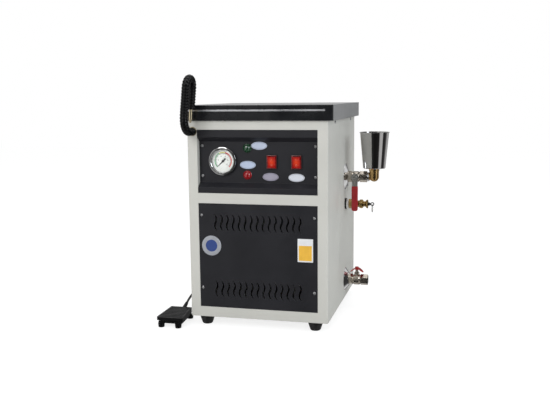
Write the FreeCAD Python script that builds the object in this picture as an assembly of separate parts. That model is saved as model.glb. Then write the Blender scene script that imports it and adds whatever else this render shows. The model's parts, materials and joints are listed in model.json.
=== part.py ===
import FreeCAD, Part
import math
import os

# Steam cleaner for jewellery: a free-standing sheet-steel cabinet with a boiler inside, a bent steam
# hose on the front left post, three fittings on the right wall and a foot pedal on a cord.
# Millimetres. X runs to the right, Y to the back, Z up. The origin is on the floor, at the centre of
# the cabinet's footprint.

V = FreeCAD.Vector
RIGHT = V(1, 0, 0)
LEFT = V(-1, 0, 0)
BACK = V(0, 1, 0)
FRONT = V(0, -1, 0)
UP = V(0, 0, 1)
DOWN = V(0, 0, -1)

# Cabinet
body_width = 350.0
body_depth = 420.0
body_height = 490.0
sheet = 1.2
post_width = 25.0
top_rail = 21.6
mid_rail = 25.2
bottom_rail = 25.6
lower_opening = 262.3
wrap_depth = 165.0
bend_radius = 3.0
tongue_depth = 15.0
seam_gap = 0.5
panel_gap = 0.4
lip_width = 17.0
lip_end_gap = 8.0
panel_return = 9.0
base_flange = 14.0
back_flange = 14.0
vent_count = 12
vent_pitch = 16.0
vent_width = 5.0
vent_height = 60.0
vent_drop = 60.0

# Feet
foot_height = 23.0
foot_top_radius = 17.8
foot_sole_radius = 13.2
foot_neck = 7.0
foot_inset_x = 35.0
foot_inset_y = 22.0
foot_recess_radius = 5.5
foot_recess_depth = 12.0
sole_edge = 2.0

# Lid with its front strip
lid_height = 37.5
lid_side_overhang = 12.6
lid_back_overhang = 3.0
lid_return = 36.0
lid_flange_drop = 20.0
strip_thickness = 6.0
strip_corner = 5.0
inlay_length = 337.0
inlay_height = 4.0
inlay_drop = 13.0
inlay_depth = 1.2
inlay_proud = 0.5
inlay_edge = 0.3

# Control panel and lower panel
recess_depth = 16.0
top_band = 18.0
bottom_band = 14.0
slope_height = 11.5
screw_inset = 8.0
control_screw_drop = 40.0
control_screw_span = 74.0
lower_screw_margin = 49.0
lower_screw_rise = 30.0
slot_count = 15
slot_pitch = 15.2
slot_height = 43.5
slot_half_width = 2.4
slot_lean = 5.2
slot_bulge = 1.9
slot_row_inset = 47.5

# Screws
screw_head_radius = 3.4
screw_head_height = 2.2
screw_shank_radius = 1.9
screw_length = 8.0
screw_hole_clearance = 0.2
side_screw_head_radius = 3.8
side_screw_length = 9.0
side_screw_drop = 6.5
side_screw_front = 94.5
side_screw_back = 343.0
low_screw_back = 295.0
low_screw_height = 328.0

# Pressure gauge
gauge_from_left = 61.0
gauge_drop = 77.0
gauge_case_radius = 31.0
gauge_bezel_radius = 35.0
gauge_bezel_height = 8.5
gauge_window_radius = 28.6
gauge_case_depth = 26.0
gauge_wall = 1.4
gauge_glass_thickness = 1.6
gauge_lip = 1.6
dial_thickness = 0.8
dial_depth = 1.0
needle_length = 22.0
needle_tail = 9.0
needle_thickness = 0.6
needle_lift = 0.7
needle_shaft_radius = 1.0
gauge_stem_radius = 7.0
gauge_stem_length = 14.0
running_clearance = 0.06

# Lamps and rocker switches
lamp_flange_radius = 10.8
lamp_lens_radius = 8.6
lamp_lens_height = 7.0
lamp_flange_height = 2.0
lamp_barrel_radius = 6.0
lamp_barrel_length = 24.0
lamp_from_left = 123.0
green_lamp_drop = 45.0
red_lamp_drop = 110.5
switch_width = 26.5
switch_height = 34.0
switch_bezel = 3.0
switch_wall = 1.1
switch_corner = 2.0
switch_body_depth = 20.0
switch_drop = 78.0
left_switch_from_right = 115.5
switch_pitch = 61.0
rocker_width = 19.0
rocker_height = 27.2
rocker_side_gap = 0.4
rocker_end_gap = 1.1
rocker_proud = 5.5
rocker_dish = 1.6
rocker_tail = 4.0
rocker_tilt = 9.0
rocker_pivot_lift = 1.0
rocker_pin_radius = 1.2
rocker_pin_length = 0.9
hole_clearance = 0.3

# Steam hose, pipe and nozzle
hose_radius = 10.0
hose_groove = 1.6
hose_bore_radius = 7.0
hose_pitch = 7.0
hose_from_top = 26.0
hose_from_left = 14.0
hose_straight = 20.0
hose_front_reach = 66.0
hose_back_reach = 21.0
hose_arch_rise = 127.0
hose_end_rise = 54.0
hose_lean = 5.5
hose_ring_crest = 0.35
hose_ring_flank = 0.25
gland_flange = 2.0
gland_flange_radius = 10.9
gland_thread_radius = 7.0
gland_nut_flats = 16.2
gland_nut_height = 4.0
pipe_radius = 5.0
pipe_wall = 1.0
pipe_fit = 0.05
pipe_bend = 20.0
nozzle_radius = 4.7
nozzle_length = 22.0
nozzle_taper = 10.0
nozzle_tip_radius = 2.2
nozzle_jet_radius = 1.2
nozzle_collar = 12.0
nozzle_collar_gap = 0.1

# Fittings on the right wall
fittings_from_back = 158.0
fill_height = 355.0
safety_drop = 73.5
drain_height = 73.0
thread_radius = 10.0
wall_hole_clearance = 0.5
rosette_crown = 17.0
rosette_edge = 0.8
fill_rosette_radius = 35.0
fill_rosette_thickness = 7.5
drain_rosette_radius = 31.0
drain_rosette_thickness = 11.5
valve_flats = 26.0
valve_inlet_length = 10.0
valve_outlet_length = 19.0
valve_ball_radius = 14.5
valve_ball_length = 22.0
valve_waist_radius = 11.5
valve_bore_radius = 7.0
socket_depth = 14.0
socket_radius = 9.3
thread_inside = 8.0
ball_radius = 10.5
ball_clearance = 0.3
stem_radius = 4.0
stem_collar_radius = 7.0
stem_collar_height = 6.0
stem_nut_flats = 9.0
stem_nut_height = 4.0
stem_sunk = 2.0
elbow_radius = 12.8
elbow_reach = 18.5
elbow_bend = 13.5
elbow_rise = 23.0
elbow_collar = 7.0
elbow_collar_proud = 0.9
elbow_bore_radius = 6.0
cup_base_radius = 29.5
cup_rim_radius = 39.5
cup_height = 96.0
cup_wall = 0.8
cup_bead = 1.4
cup_foot_bend = 1.5
cup_stub = 5.0
cup_stub_wall = 1.0
lever_width = 15.0
lever_thickness = 2.5
lever_hub_radius = 10.0
lever_length = 87.5
lever_gap = 0.4
lever_corner = 3.0
grip_length = 66.5
grip_width = 17.0
grip_thickness = 7.5
grip_corner = 6.0
grip_tip = 3.0
safety_washer_radius = 14.8
safety_washer_thickness = 4.5
safety_collar_radius = 13.6
safety_collar_thickness = 5.5
safety_flats = 22.0
safety_hex_length = 22.0
safety_barrel_radius = 9.0
safety_barrel_length = 29.0
safety_flare_radius = 12.0
safety_stem_radius = 3.0
safety_cap_radius = 4.6
safety_cap_gap = 0.5
safety_cap_thickness = 4.0
safety_nipple_radius = 6.9
safety_nipple_depth = 6.0
safety_bore_radius = 3.9
safety_stem_reach = 12.0
safety_stem_depth = 18.0
safety_eye_radius = 5.0
safety_eye_hole = 2.8
ring_slack = 0.45
safety_eye_thickness = 3.0
ring_radius = 10.0
ring_wire = 0.9
wing_length = 36.0
wing_width = 18.0
wing_thickness = 2.4
wing_drop = 9.0
wing_lift = 8.0
wing_bend = 6.0
wing_hub_radius = 7.0

# Boiler and what serves it
boiler_radius = 95.0
boiler_bottom = 100.0
boiler_below_fill = 50.0
boiler_wall = 2.0
boiler_edge = 20.0
port_radius = 9.0
port_height = 8.0
port_depth = 6.0
stub_radius = 11.0
stub_gap = 2.0
stand_ring_width = 15.0
stand_ring_height = 6.0
stand_leg = 12.0
heater_height = 145.0
heater_boss_radius = 22.0
heater_boss_length = 12.0
heater_flange = 6.0
heater_cap_radius = 16.0
heater_cap_length = 22.0
heater_reach = 150.0
heater_rod_radius = 3.5
heater_rod_spread = 8.0
service_pipe_radius = 6.0
service_pipe_bend = 14.0
capillary_radius = 2.5
capillary_bend = 10.0
gauge_pipe_rise = 32.0
fill_port_x = 40.0
steam_port_x = -50.0
steam_port_forward = 32.0
gauge_port_x = -40.0
gauge_port_back = 38.0
switch_port_x = 10.0
switch_port_back = 53.0
solenoid_width = 36.0
solenoid_depth = 30.0
solenoid_height = 26.0
solenoid_rise = 12.0
solenoid_coil_radius = 17.0
solenoid_coil_height = 42.0
solenoid_tube_radius = 6.0
solenoid_tube_proud = 4.0
solenoid_plug_half = 10.0
solenoid_plug_reach = 12.0
solenoid_plug_height = 20.0
pressure_switch_width = 44.0
pressure_switch_depth = 30.0
pressure_switch_height = 46.0
pressure_switch_neck = 18.0
pressure_switch_drum = 8.0
pressure_switch_corner = 3.0
pipe_nut = 6.0
pipe_sleeve = 6.0
gauge_nut = 10.0
stand_pad = 3.0

# Cable glands
mains_gland_from_right = 75.0
mains_gland_height = 75.0
mains_gland_bore = 4.5
pedal_gland_from_back = 21.0
pedal_gland_height = 96.0
gland_radius = 9.5
cable_gland_flats = 17.0
cable_gland_reach = 16.0
cable_gland_thread = 6.0
gland_dome_step = 2.0
gland_thread_inside = 7.0

# Foot pedal
pedal_x = -220.0
pedal_front_width = 69.0
pedal_back_width = 56.0
pedal_front = -250.0
pedal_back = -164.0
pedal_base_back = -156.0
pedal_wall = 2.5
pedal_side_gap = 0.5
pedal_front_gap = 2.0
pedal_foot = 9.0
pedal_foot_radius = 8.5
pedal_foot_taper = 1.0
pedal_foot_spread = 45.0
pedal_foot_front = -247.0
pedal_foot_back = -162.0
pedal_base_height = 5.0
pedal_cheek_height = 11.0
pedal_cheek_width = 8.0
pedal_cheek_depth = 16.0
pedal_rear_wall = 10.0
pedal_top_front = 25.0
pedal_top_back = 30.0
pedal_skirt_bottom = 17.0
pedal_corner = 4.0
pedal_pin_radius = 2.0
pedal_pin_depth = 6.0
pedal_pin_y = -172.0
pedal_pin_z = 20.5
pedal_ridge_count = 8
pedal_ridge_margin = 9.0
pedal_ridge_height = 0.9
spring_y = -218.0
spring_radius = 5.5
spring_wire = 0.6
spring_turns = 5
spring_seat_radius = 3.6
spring_seat_height = 4.0
spring_gap = 0.3
boot_length = 20.0
boot_root_radius = 5.5
boot_block = 5.0
boot_tip_wall = 0.8
boot_flange = 2.0

# Pedal cord: its route from the pedal to the coil, and from the coil to the gland
cord_radius = 3.0
cord_run_route = [
    V(-212.6, -143.4, 36.0),
    V(-210.0, -133.0, 45.0),
    V(-205.0, -107.0, 56.0),
    V(-200.0, -75.0, 53.0),
    V(-197.0, -46.0, 37.0),
    V(-197.0, -20.0, 18.0),
    V(-201.0, 5.0, 6.0),
    V(-212.0, 30.0, 3.0),
    V(-232.0, 52.0, 3.0),
    V(-253.0, 66.0, 3.0),
    V(-262.4, 88.0, 3.0),
    V(-262.4, 104.0, 3.0),
]
coil_x = -222.0
coil_y = 110.0
coil_outer_radius = 40.4
coil_gap = 0.6
coil_turns = 5.0
coil_climb_turns = 0.5
coil_lead = 6.0
cord_tail_route = [
    V(-262.4, 116.0, 9.6),
    V(-262.4, 131.0, 9.6),
    V(-259.8, 149.0, 8.2),
    V(-254.5, 166.5, 11.5),
    V(-249.0, 180.0, 23.5),
    V(-245.0, 187.0, 44.0),
    V(-240.5, 189.0, 68.0),
    V(-228.0, 189.0, 87.0),
    V(-209.0, 189.0, 96.0),
    V(-191.0, 189.0, 96.0),
]

# Places that follow from the sizes
half_width = body_width / 2
front_y = -body_depth / 2
back_y = body_depth / 2
body_top = foot_height + body_height
seam_y = front_y + wrap_depth
opening_half = half_width - post_width
lower_bottom = foot_height + bottom_rail
lower_top = lower_bottom + lower_opening
upper_bottom = lower_top + mid_rail
upper_top = body_top - top_rail
panel_face_y = front_y + recess_depth
main_top = upper_top - top_band - slope_height
main_bottom = upper_bottom + bottom_band + slope_height
lid_top = body_top + lid_height
lid_half = half_width + lid_side_overhang
lid_back = back_y + lid_back_overhang
hose_x = -half_width + hose_from_left
hose_z = body_top - hose_from_top
hose_arch_height = hose_z + hose_arch_rise
hose_end_height = hose_z + hose_end_rise
hose_start_y = front_y - gland_flange
fittings_y = back_y - fittings_from_back
safety_height = fill_height - safety_drop
wall_x = half_width
inner_wall_x = half_width - sheet
thread_end = inner_wall_x - thread_inside
stub_end = inner_wall_x - stub_gap
boiler_top = fill_height - boiler_below_fill
boiler_height = boiler_top - boiler_bottom
port_top = boiler_top + port_height
spacing = 2 * cord_radius + coil_gap
overlap = 1.0
circle = 360.0
steam_port = V(steam_port_x, fittings_y - steam_port_forward, 0)
gauge_port = V(gauge_port_x, fittings_y + gauge_port_back, 0)
switch_port = V(switch_port_x, fittings_y + switch_port_back, 0)
coil_centre = V(coil_x, coil_y, 0)


def box(x0, x1, y0, y1, z0, z1):
    return Part.makeBox(x1 - x0, y1 - y0, z1 - z0, V(x0, y0, z0))


def rod(start, direction, radius, length):
    return Part.makeCylinder(radius, length, start, direction)


def fused(shapes):
    return shapes[0].fuse(shapes[1:]).removeSplitter()


def turned(profile, start, direction):
    # A solid turned about an axis. Each point of the profile is (distance along the axis, radius).
    points = [V(radius, 0, along) for along, radius in profile]
    face = Part.Face(Part.makePolygon(points + points[:1]))
    solid = face.revolve(V(0, 0, 0), UP, circle)
    solid.Placement = FreeCAD.Placement(start, FreeCAD.Rotation(UP, direction))
    return solid


def hex_rod(start, direction, flats, length):
    radius = flats / math.sqrt(3)
    angles = [math.radians(60 * k) for k in range(6)]
    corners = [V(radius * math.cos(angle), radius * math.sin(angle), 0) for angle in angles]
    solid = Part.Face(Part.makePolygon(corners + corners[:1])).extrude(V(0, 0, length))
    solid.Placement = FreeCAD.Placement(start, FreeCAD.Rotation(UP, direction))
    return solid


def filleted(shape, radius, wanted):
    return shape.makeFillet(radius, [edge for edge in shape.Edges if wanted(edge)])


def is_at(value, wanted):
    return abs(value - wanted) < 1e-6


def is_upright(edge):
    ends = [vertex.Point for vertex in edge.Vertexes]
    return len(ends) == 2 and (ends[1] - ends[0]).cross(UP).Length < 1e-6


def rounded_route(points, bends):
    # Straight runs joined by tangent arcs. bends holds one radius for each inner point.
    edges = []
    here = points[0]
    for before, corner, after, radius in zip(points, points[1:], points[2:], bends):
        incoming = (corner - before).normalize()
        outgoing = (after - corner).normalize()
        half_turn = incoming.getAngle(outgoing) / 2
        setback = radius * math.tan(half_turn)
        inward = (outgoing - incoming).normalize()
        middle = corner + inward * (radius / math.cos(half_turn) - radius)
        arc_start = corner - incoming * setback
        arc_end = corner + outgoing * setback
        if (arc_start - here).Length > 1e-6:
            edges.append(Part.LineSegment(here, arc_start).toShape())
        edges.append(Part.Arc(arc_start, middle, arc_end).toShape())
        here = arc_end
    edges.append(Part.LineSegment(here, points[-1]).toShape())
    return Part.Wire(edges)


def cord_bends(points):
    # The largest arc that each pair of runs allows.
    share = 0.45
    bends = []
    for before, corner, after in zip(points, points[1:], points[2:]):
        shorter = min((corner - before).Length, (after - corner).Length)
        half_turn = (corner - before).getAngle(after - corner) / 2
        bends.append(share * shorter / math.tan(half_turn))
    return bends


def pipe_along(wire, radius):
    first = wire.Edges[0]
    start = first.valueAt(first.FirstParameter)
    direction = first.tangentAt(first.FirstParameter)
    section = Part.Wire([Part.makeCircle(radius, start, direction)])
    return wire.makePipeShell([section], True, False)


def biarc(start, heading, end, arrival):
    # Two tangent arcs from one point and heading to another.
    across = end - start
    both = heading + arrival
    spread = 2 * (1 - heading.dot(arrival))
    reach = (-across.dot(both) + math.sqrt(across.dot(both) ** 2 + spread * across.dot(across))) / spread
    first_control = start + heading * reach
    last_control = end - arrival * reach
    joint = (first_control + last_control) / 2
    arcs = []
    for a, control, b in ((start, first_control, joint), (joint, last_control, end)):
        chord_middle = (a + b) / 2
        rise = control - chord_middle
        half_turn = math.atan2(rise.Length, (a - chord_middle).Length)
        sagitta = (a - chord_middle).Length * math.tan(half_turn / 2)
        arcs.append(Part.Arc(a, chord_middle + rise.normalize() * sagitta, b).toShape())
    return arcs


def screw(seat, direction, head_radius, length):
    # A pan-head screw with a cross recess. seat is where the head meets the sheet.
    dome = 0.55
    recess_width = 0.9
    recess_half = 0.6 * head_radius
    recess_depth_share = 0.5
    head = turned(
        [
            (0, 0),
            (0, head_radius),
            (screw_head_height * dome, head_radius),
            (screw_head_height, head_radius * dome),
            (screw_head_height, 0),
        ],
        seat,
        direction,
    )
    shank = rod(seat, direction * -1, screw_shank_radius, length)
    solid = fused([head, shank])
    floor = screw_head_height * recess_depth_share
    for angle in (0, 90):
        corner = V(-recess_half, -recess_width / 2, floor)
        slot = Part.makeBox(2 * recess_half, recess_width, screw_head_height, corner)
        slot.rotate(V(0, 0, 0), UP, angle)
        slot.Placement = FreeCAD.Placement(seat, FreeCAD.Rotation(UP, direction)).multiply(slot.Placement)
        solid = solid.cut(slot)
    return solid


def control_screw_points():
    x = opening_half - screw_inset
    high = upper_top - control_screw_drop
    low = high - control_screw_span
    return [V(side * x, panel_face_y, z) for side in (-1, 1) for z in (low, high)]


def lower_screw_points():
    x = opening_half - screw_inset
    heights = (lower_bottom + lower_screw_margin, lower_top - lower_screw_rise)
    return [V(side * x, front_y, z) for side in (-1, 1) for z in heights]


def side_screw_points():
    z = body_top - side_screw_drop
    high = [(front_y + side_screw_front, z), (front_y + side_screw_back, z)]
    places = high + [(front_y + low_screw_back, low_screw_height)]
    return [V(side * half_width, y, z) for side in (-1, 1) for y, z in places]


def screw_holes(points, direction, reach):
    radius = screw_shank_radius + screw_hole_clearance
    return [rod(point - direction * reach, direction, radius, 2 * reach) for point in points]


# Cabinet


def make_front_frame():
    outer = box(-half_width, half_width, front_y, seam_y - seam_gap, foot_height, body_top)
    outer = filleted(outer, bend_radius, lambda e: is_upright(e) and e.Vertexes[0].Point.y < front_y + 1)
    inner_half = half_width - sheet
    inner = box(-inner_half, inner_half, front_y + sheet, seam_y, foot_height - overlap, body_top + overlap)
    inner_bend = bend_radius - sheet
    inner_front = front_y + sheet + 1
    inner = filleted(inner, inner_bend, lambda e: is_upright(e) and e.Vertexes[0].Point.y < inner_front)
    frame = outer.cut(inner)
    front = front_y - overlap
    behind = front_y + sheet + overlap
    frame = frame.cut(box(-opening_half, opening_half, front, behind, lower_bottom, lower_top))
    frame = frame.cut(box(-opening_half, opening_half, front, behind, upper_bottom, upper_top))
    pieces = [frame]
    lip_y = panel_face_y + sheet
    for side in (-1, 1):
        jamb = sorted((side * opening_half, side * (opening_half + sheet)))
        upper_lip = sorted((side * (opening_half - lip_width), side * (opening_half + sheet)))
        lower_lip = sorted((side * (opening_half - lip_width), side * (opening_half + lip_end_gap)))
        pieces.append(box(*jamb, front_y + sheet / 2, lip_y + sheet, upper_bottom, upper_top))
        pieces.append(box(*upper_lip, lip_y, lip_y + sheet, main_bottom, main_top))
        lower_z = (lower_bottom + lip_end_gap + panel_return, lower_top - lip_end_gap - panel_return)
        pieces.append(box(*lower_lip, front_y + sheet, front_y + 2 * sheet, *lower_z))
    frame = fused(pieces)
    gland_start = V(hose_x, behind, hose_z)
    gland_hole = rod(gland_start, FRONT, gland_thread_radius + hole_clearance, 3 * overlap + sheet)
    holes = screw_holes(control_screw_points(), FRONT, 3 * sheet)
    holes += screw_holes(lower_screw_points(), FRONT, 3 * sheet)
    holes += screw_holes([p for p in side_screw_points() if p.y < seam_y], RIGHT, 2 * sheet)
    return frame.cut([gland_hole] + holes)


def make_side_panel(side):
    outer = sorted((side * half_width, side * (half_width - sheet)))
    tongue = sorted((side * (half_width - sheet), side * (half_width - 2 * sheet)))
    wall = box(*outer, seam_y, back_y, foot_height, body_top)
    joggle = box(*tongue, seam_y - tongue_depth, seam_y + tongue_depth, foot_height + sheet, body_top)
    panel = fused([wall, joggle])
    holes = screw_holes([p for p in side_screw_points() if p.y > seam_y and p.x * side > 0], RIGHT, 2 * sheet)
    reach = 4 * sheet
    if side > 0:
        for height in (fill_height, safety_height, drain_height):
            start = V(wall_x - 2 * sheet, fittings_y, height)
            holes.append(rod(start, RIGHT, thread_radius + wall_hole_clearance, reach))
    else:
        start = V(-half_width - 2 * sheet, back_y - pedal_gland_from_back, pedal_gland_height)
        holes.append(rod(start, RIGHT, cable_gland_thread + hole_clearance, reach))
    return panel.cut(holes)


def make_back_panel():
    x = half_width - sheet
    pieces = [box(-x, x, back_y - sheet, back_y, foot_height, body_top)]
    for side in (-1, 1):
        flange = sorted((side * x, side * (x - sheet)))
        pieces.append(box(*flange, back_y - back_flange, back_y, foot_height + sheet, body_top))
    panel = fused(pieces)
    first = -vent_pitch * (vent_count - 1) / 2
    top = body_top - vent_drop
    holes = []
    for k in range(vent_count):
        x = first + k * vent_pitch
        left = x - vent_width / 2
        holes.append(box(left, left + vent_width, back_y - 2 * sheet, back_y + sheet, top - vent_height, top))
    gland = V(half_width - mains_gland_from_right, back_y - 2 * sheet, mains_gland_height)
    holes.append(rod(gland, BACK, cable_gland_thread + hole_clearance, 4 * sheet))
    corner = V(-half_width, back_y - pedal_gland_from_back, pedal_gland_height)
    holes.append(rod(corner, RIGHT, gland_radius + cable_gland_thread, 4 * sheet))
    return panel.cut(holes)


def make_base_plate():
    x = half_width - bend_radius
    y0 = front_y + sheet
    y1 = back_y - sheet
    tray = box(-x, x, y0, y1, foot_height, foot_height + base_flange)
    floor = foot_height + sheet
    hollow = box(-x + sheet, x - sheet, y0 + sheet, y1 - sheet, floor, floor + 2 * base_flange)
    return tray.cut(hollow)


def make_feet():
    feet = []
    for side in (-1, 1):
        for y in (front_y + foot_inset_y, back_y - foot_inset_y):
            base = V(side * (half_width - foot_inset_x), y, 0)
            profile = [
                (0, 0),
                (0, foot_sole_radius - sole_edge),
                (sole_edge, foot_sole_radius),
                (foot_height - foot_neck, foot_top_radius),
                (foot_height, foot_top_radius),
                (foot_height, 0),
            ]
            foot = turned(profile, base, UP)
            feet.append(foot.cut(rod(base, UP, foot_recess_radius, foot_recess_depth)))
    return Part.makeCompound(feet)


def make_top_lid():
    outer = box(-lid_half, lid_half, front_y, lid_back, body_top, lid_top)
    outer = filleted(outer, bend_radius, lambda e: is_upright(e) and e.Vertexes[0].Point.y > 0)
    inner_half = lid_half - sheet
    inner_back = lid_back - sheet
    inner = box(-inner_half, inner_half, front_y + sheet, inner_back, body_top + sheet, lid_top - sheet)
    x = half_width - 2 * sheet - lid_return
    mouth = box(-x, x, front_y + lid_return, back_y - lid_return, body_top - overlap, body_top + 2 * sheet)
    shell = outer.cut(inner).cut(mouth)
    flange_x = half_width - 2 * sheet - hole_clearance
    flanges = []
    for side in (-1, 1):
        edges = sorted((side * flange_x, side * (flange_x - sheet)))
        z0 = body_top - lid_flange_drop
        flanges.append(box(*edges, front_y + lid_return, back_y - lid_return, z0, body_top + sheet))
    lid = fused([shell] + flanges)
    return lid.cut(screw_holes(side_screw_points(), RIGHT, side_screw_length))


def make_lid_strip():
    strip = box(-lid_half, lid_half, front_y - strip_thickness, front_y, body_top, lid_top)
    strip = filleted(strip, strip_corner, lambda e: is_upright(e) and e.Vertexes[0].Point.y < front_y - 1)
    top_edge = 1.5
    front = front_y - strip_thickness
    strip = filleted(strip, top_edge, lambda e: is_at(e.CenterOfMass.y, front) and not is_upright(e))
    return strip.cut(inlay_box(inlay_depth, overlap))


def inlay_box(depth, proud):
    front = front_y - strip_thickness
    z = lid_top - inlay_drop
    x = inlay_length / 2
    return box(-x, x, front - proud, front + depth, z - inlay_height / 2, z + inlay_height / 2)


def make_inlay():
    bar = inlay_box(inlay_depth, inlay_proud)
    front = front_y - strip_thickness - inlay_proud
    return filleted(bar, inlay_edge, lambda e: is_at(e.CenterOfMass.y, front))


def make_control_panel():
    gap = panel_gap
    top = upper_top - gap
    bottom = upper_bottom + gap
    face = [
        (front_y, bottom),
        (front_y, upper_bottom + bottom_band),
        (panel_face_y, main_bottom),
        (panel_face_y, main_top),
        (front_y, upper_top - top_band),
        (front_y, top),
    ]
    back = [(y + sheet, z) for y, z in reversed(face)]
    back[0] = (front_y + panel_return, top)
    back.insert(1, (front_y + panel_return, top - sheet))
    back.insert(2, (front_y + sheet, top - sheet))
    back[-1] = (front_y + sheet, bottom + sheet)
    back.append((front_y + panel_return, bottom + sheet))
    back.append((front_y + panel_return, bottom))
    x = opening_half - gap
    points = [V(-x, y, z) for y, z in face + back]
    panel = Part.Face(Part.makePolygon(points + points[:1])).extrude(V(2 * x, 0, 0))
    depth = 2 * sheet
    start_y = panel_face_y - sheet
    holes = screw_holes(control_screw_points(), FRONT, 2 * sheet)
    holes.append(rod(V(gauge_x, start_y, gauge_z), BACK, gauge_case_radius + hole_clearance, depth + sheet))
    for z in (green_lamp_z, red_lamp_z):
        holes.append(rod(V(lamp_x, start_y, z), BACK, lamp_barrel_radius + hole_clearance, depth + sheet))
    for x in switch_places:
        half_w = switch_body_half_width + hole_clearance
        half_h = switch_body_half_height + hole_clearance
        end_y = start_y + 3 * sheet
        holes.append(box(x - half_w, x + half_w, start_y, end_y, switch_z - half_h, switch_z + half_h))
    return panel.cut(holes)


def slot_face(centre):
    # One wavy vent: two arcs down each side, with pointed ends.
    quarter = slot_height / 4
    tip = V(-slot_lean, 0, slot_height / 2)
    side = 0.8 * slot_half_width
    waist = slot_half_width
    high = V(slot_bulge, 0, quarter)
    outline = [
        Part.Arc(tip, high + V(side, 0, 0), V(waist, 0, 0)),
        Part.Arc(V(waist, 0, 0), high * -1 + V(side, 0, 0), tip * -1),
        Part.Arc(tip * -1, high * -1 - V(side, 0, 0), V(-waist, 0, 0)),
        Part.Arc(V(-waist, 0, 0), high - V(side, 0, 0), tip),
    ]
    face = Part.Face(Part.Wire([arc.toShape() for arc in outline]))
    face.translate(centre)
    return face


def make_lower_panel():
    gap = panel_gap
    x = opening_half - gap
    z0 = lower_bottom + gap
    z1 = lower_top - gap
    pieces = [box(-x, x, front_y, front_y + sheet, z0, z1)]
    return_x = opening_half - lip_width - lip_end_gap
    for z in (z0, z1 - sheet):
        pieces.append(box(-return_x, return_x, front_y, front_y + panel_return, z, z + sheet))
    panel = fused(pieces)
    slots = []
    first = -slot_pitch * (slot_count - 1) / 2
    for z in (lower_bottom + slot_row_inset, lower_top - slot_row_inset):
        for k in range(slot_count):
            face = slot_face(V(first + k * slot_pitch, front_y - overlap, z))
            slots.append(face.extrude(V(0, sheet + 2 * overlap, 0)))
    return panel.cut(slots + screw_holes(lower_screw_points(), FRONT, 2 * sheet))


def make_panel_screws():
    points = control_screw_points() + lower_screw_points()
    return Part.makeCompound([screw(p, FRONT, screw_head_radius, screw_length) for p in points])


def make_side_screws():
    screws = []
    for point in side_screw_points():
        outward = RIGHT if point.x > 0 else LEFT
        screws.append(screw(point, outward, side_screw_head_radius, side_screw_length))
    return Part.makeCompound(screws)


# Pressure gauge

gauge_x = -opening_half + gauge_from_left
gauge_z = upper_top - gauge_drop
gauge_seat = V(gauge_x, panel_face_y, gauge_z)
dial_back = dial_depth + dial_thickness


def make_gauge_case():
    rim = 2.0
    inner = gauge_case_radius - gauge_wall
    ledge = inner - 2 * gauge_wall
    profile = [
        (-gauge_case_depth, 0),
        (-gauge_case_depth, gauge_case_radius),
        (rim, gauge_case_radius),
        (rim, inner),
        (-dial_back, inner),
        (-dial_back, ledge),
        (-gauge_case_depth + gauge_wall, ledge),
        (-gauge_case_depth + gauge_wall, 0),
    ]
    case = turned(profile, gauge_seat, FRONT)
    stem_start = gauge_seat + BACK * gauge_case_depth
    stem = hex_rod(stem_start - BACK * overlap, BACK, 2 * gauge_stem_radius, gauge_stem_length)
    return fused([case, stem])


def make_gauge_bezel():
    seat = gauge_case_radius + hole_clearance
    edge = 2.2
    profile = [
        (0, seat),
        (0, gauge_bezel_radius),
        (gauge_bezel_height - edge, gauge_bezel_radius),
        (gauge_bezel_height - edge / 4, gauge_bezel_radius - edge / 3),
        (gauge_bezel_height, gauge_bezel_radius - edge),
        (gauge_bezel_height, gauge_window_radius + edge / 2),
        (gauge_bezel_height - edge / 2, gauge_window_radius),
        (gauge_bezel_height - gauge_lip, gauge_window_radius),
        (gauge_bezel_height - gauge_lip, seat),
    ]
    return turned(profile, gauge_seat, FRONT)


def make_gauge_glass():
    start = gauge_seat + FRONT * (gauge_bezel_height - gauge_lip - gauge_glass_thickness)
    return rod(start, FRONT, gauge_case_radius, gauge_glass_thickness)


def make_gauge_dial():
    radius = gauge_case_radius - gauge_wall - hole_clearance
    start = gauge_seat + BACK * dial_back
    disc = rod(start, FRONT, radius, dial_thickness)
    bore = rod(start + BACK, FRONT, needle_shaft_radius + running_clearance, dial_thickness + 2)
    return disc.cut(bore)


def make_gauge_needle():
    hub_radius = 2.6
    root_half = 1.5
    tip_half = 0.35
    tail_half = 1.9
    level = gauge_seat + BACK * (dial_depth - needle_lift)
    outline = [
        V(-tip_half, 0, needle_length),
        V(tip_half, 0, needle_length),
        V(root_half, 0, 0),
        V(tail_half, 0, -needle_tail),
        V(-tail_half, 0, -needle_tail),
        V(-root_half, 0, 0),
    ]
    blade = Part.Face(Part.makePolygon(outline + outline[:1])).extrude(V(0, -needle_thickness, 0))
    blade.rotate(V(0, 0, 0), BACK, -135)
    blade.translate(level)
    hub = rod(level, FRONT, hub_radius, 2 * needle_thickness)
    shaft = rod(level, BACK, needle_shaft_radius, dial_back + needle_lift)
    return fused([blade, hub, shaft])


# Lamps and switches

lamp_x = -opening_half + lamp_from_left
green_lamp_z = upper_top - green_lamp_drop
red_lamp_z = upper_top - red_lamp_drop
switch_z = upper_top - switch_drop
switch_places = [opening_half - left_switch_from_right, opening_half - left_switch_from_right + switch_pitch]
pivot_y = panel_face_y - rocker_pivot_lift
switch_body_half_width = rocker_width / 2 + rocker_side_gap + switch_wall
switch_body_half_height = rocker_height / 2 + rocker_end_gap + switch_wall


def make_lamp(z):
    flange = lamp_flange_height
    top = flange + lamp_lens_height
    profile = [
        (-lamp_barrel_length, 0),
        (-lamp_barrel_length, lamp_barrel_radius),
        (0, lamp_barrel_radius),
        (0, lamp_flange_radius),
        (flange * 0.6, lamp_flange_radius),
        (flange, lamp_flange_radius - flange * 0.4),
        (flange, lamp_lens_radius),
        (top - lamp_lens_height * 0.5, lamp_lens_radius * 0.93),
        (top - lamp_lens_height * 0.15, lamp_lens_radius * 0.6),
        (top, 0),
    ]
    return turned(profile, V(lamp_x, panel_face_y, z), FRONT)


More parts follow.
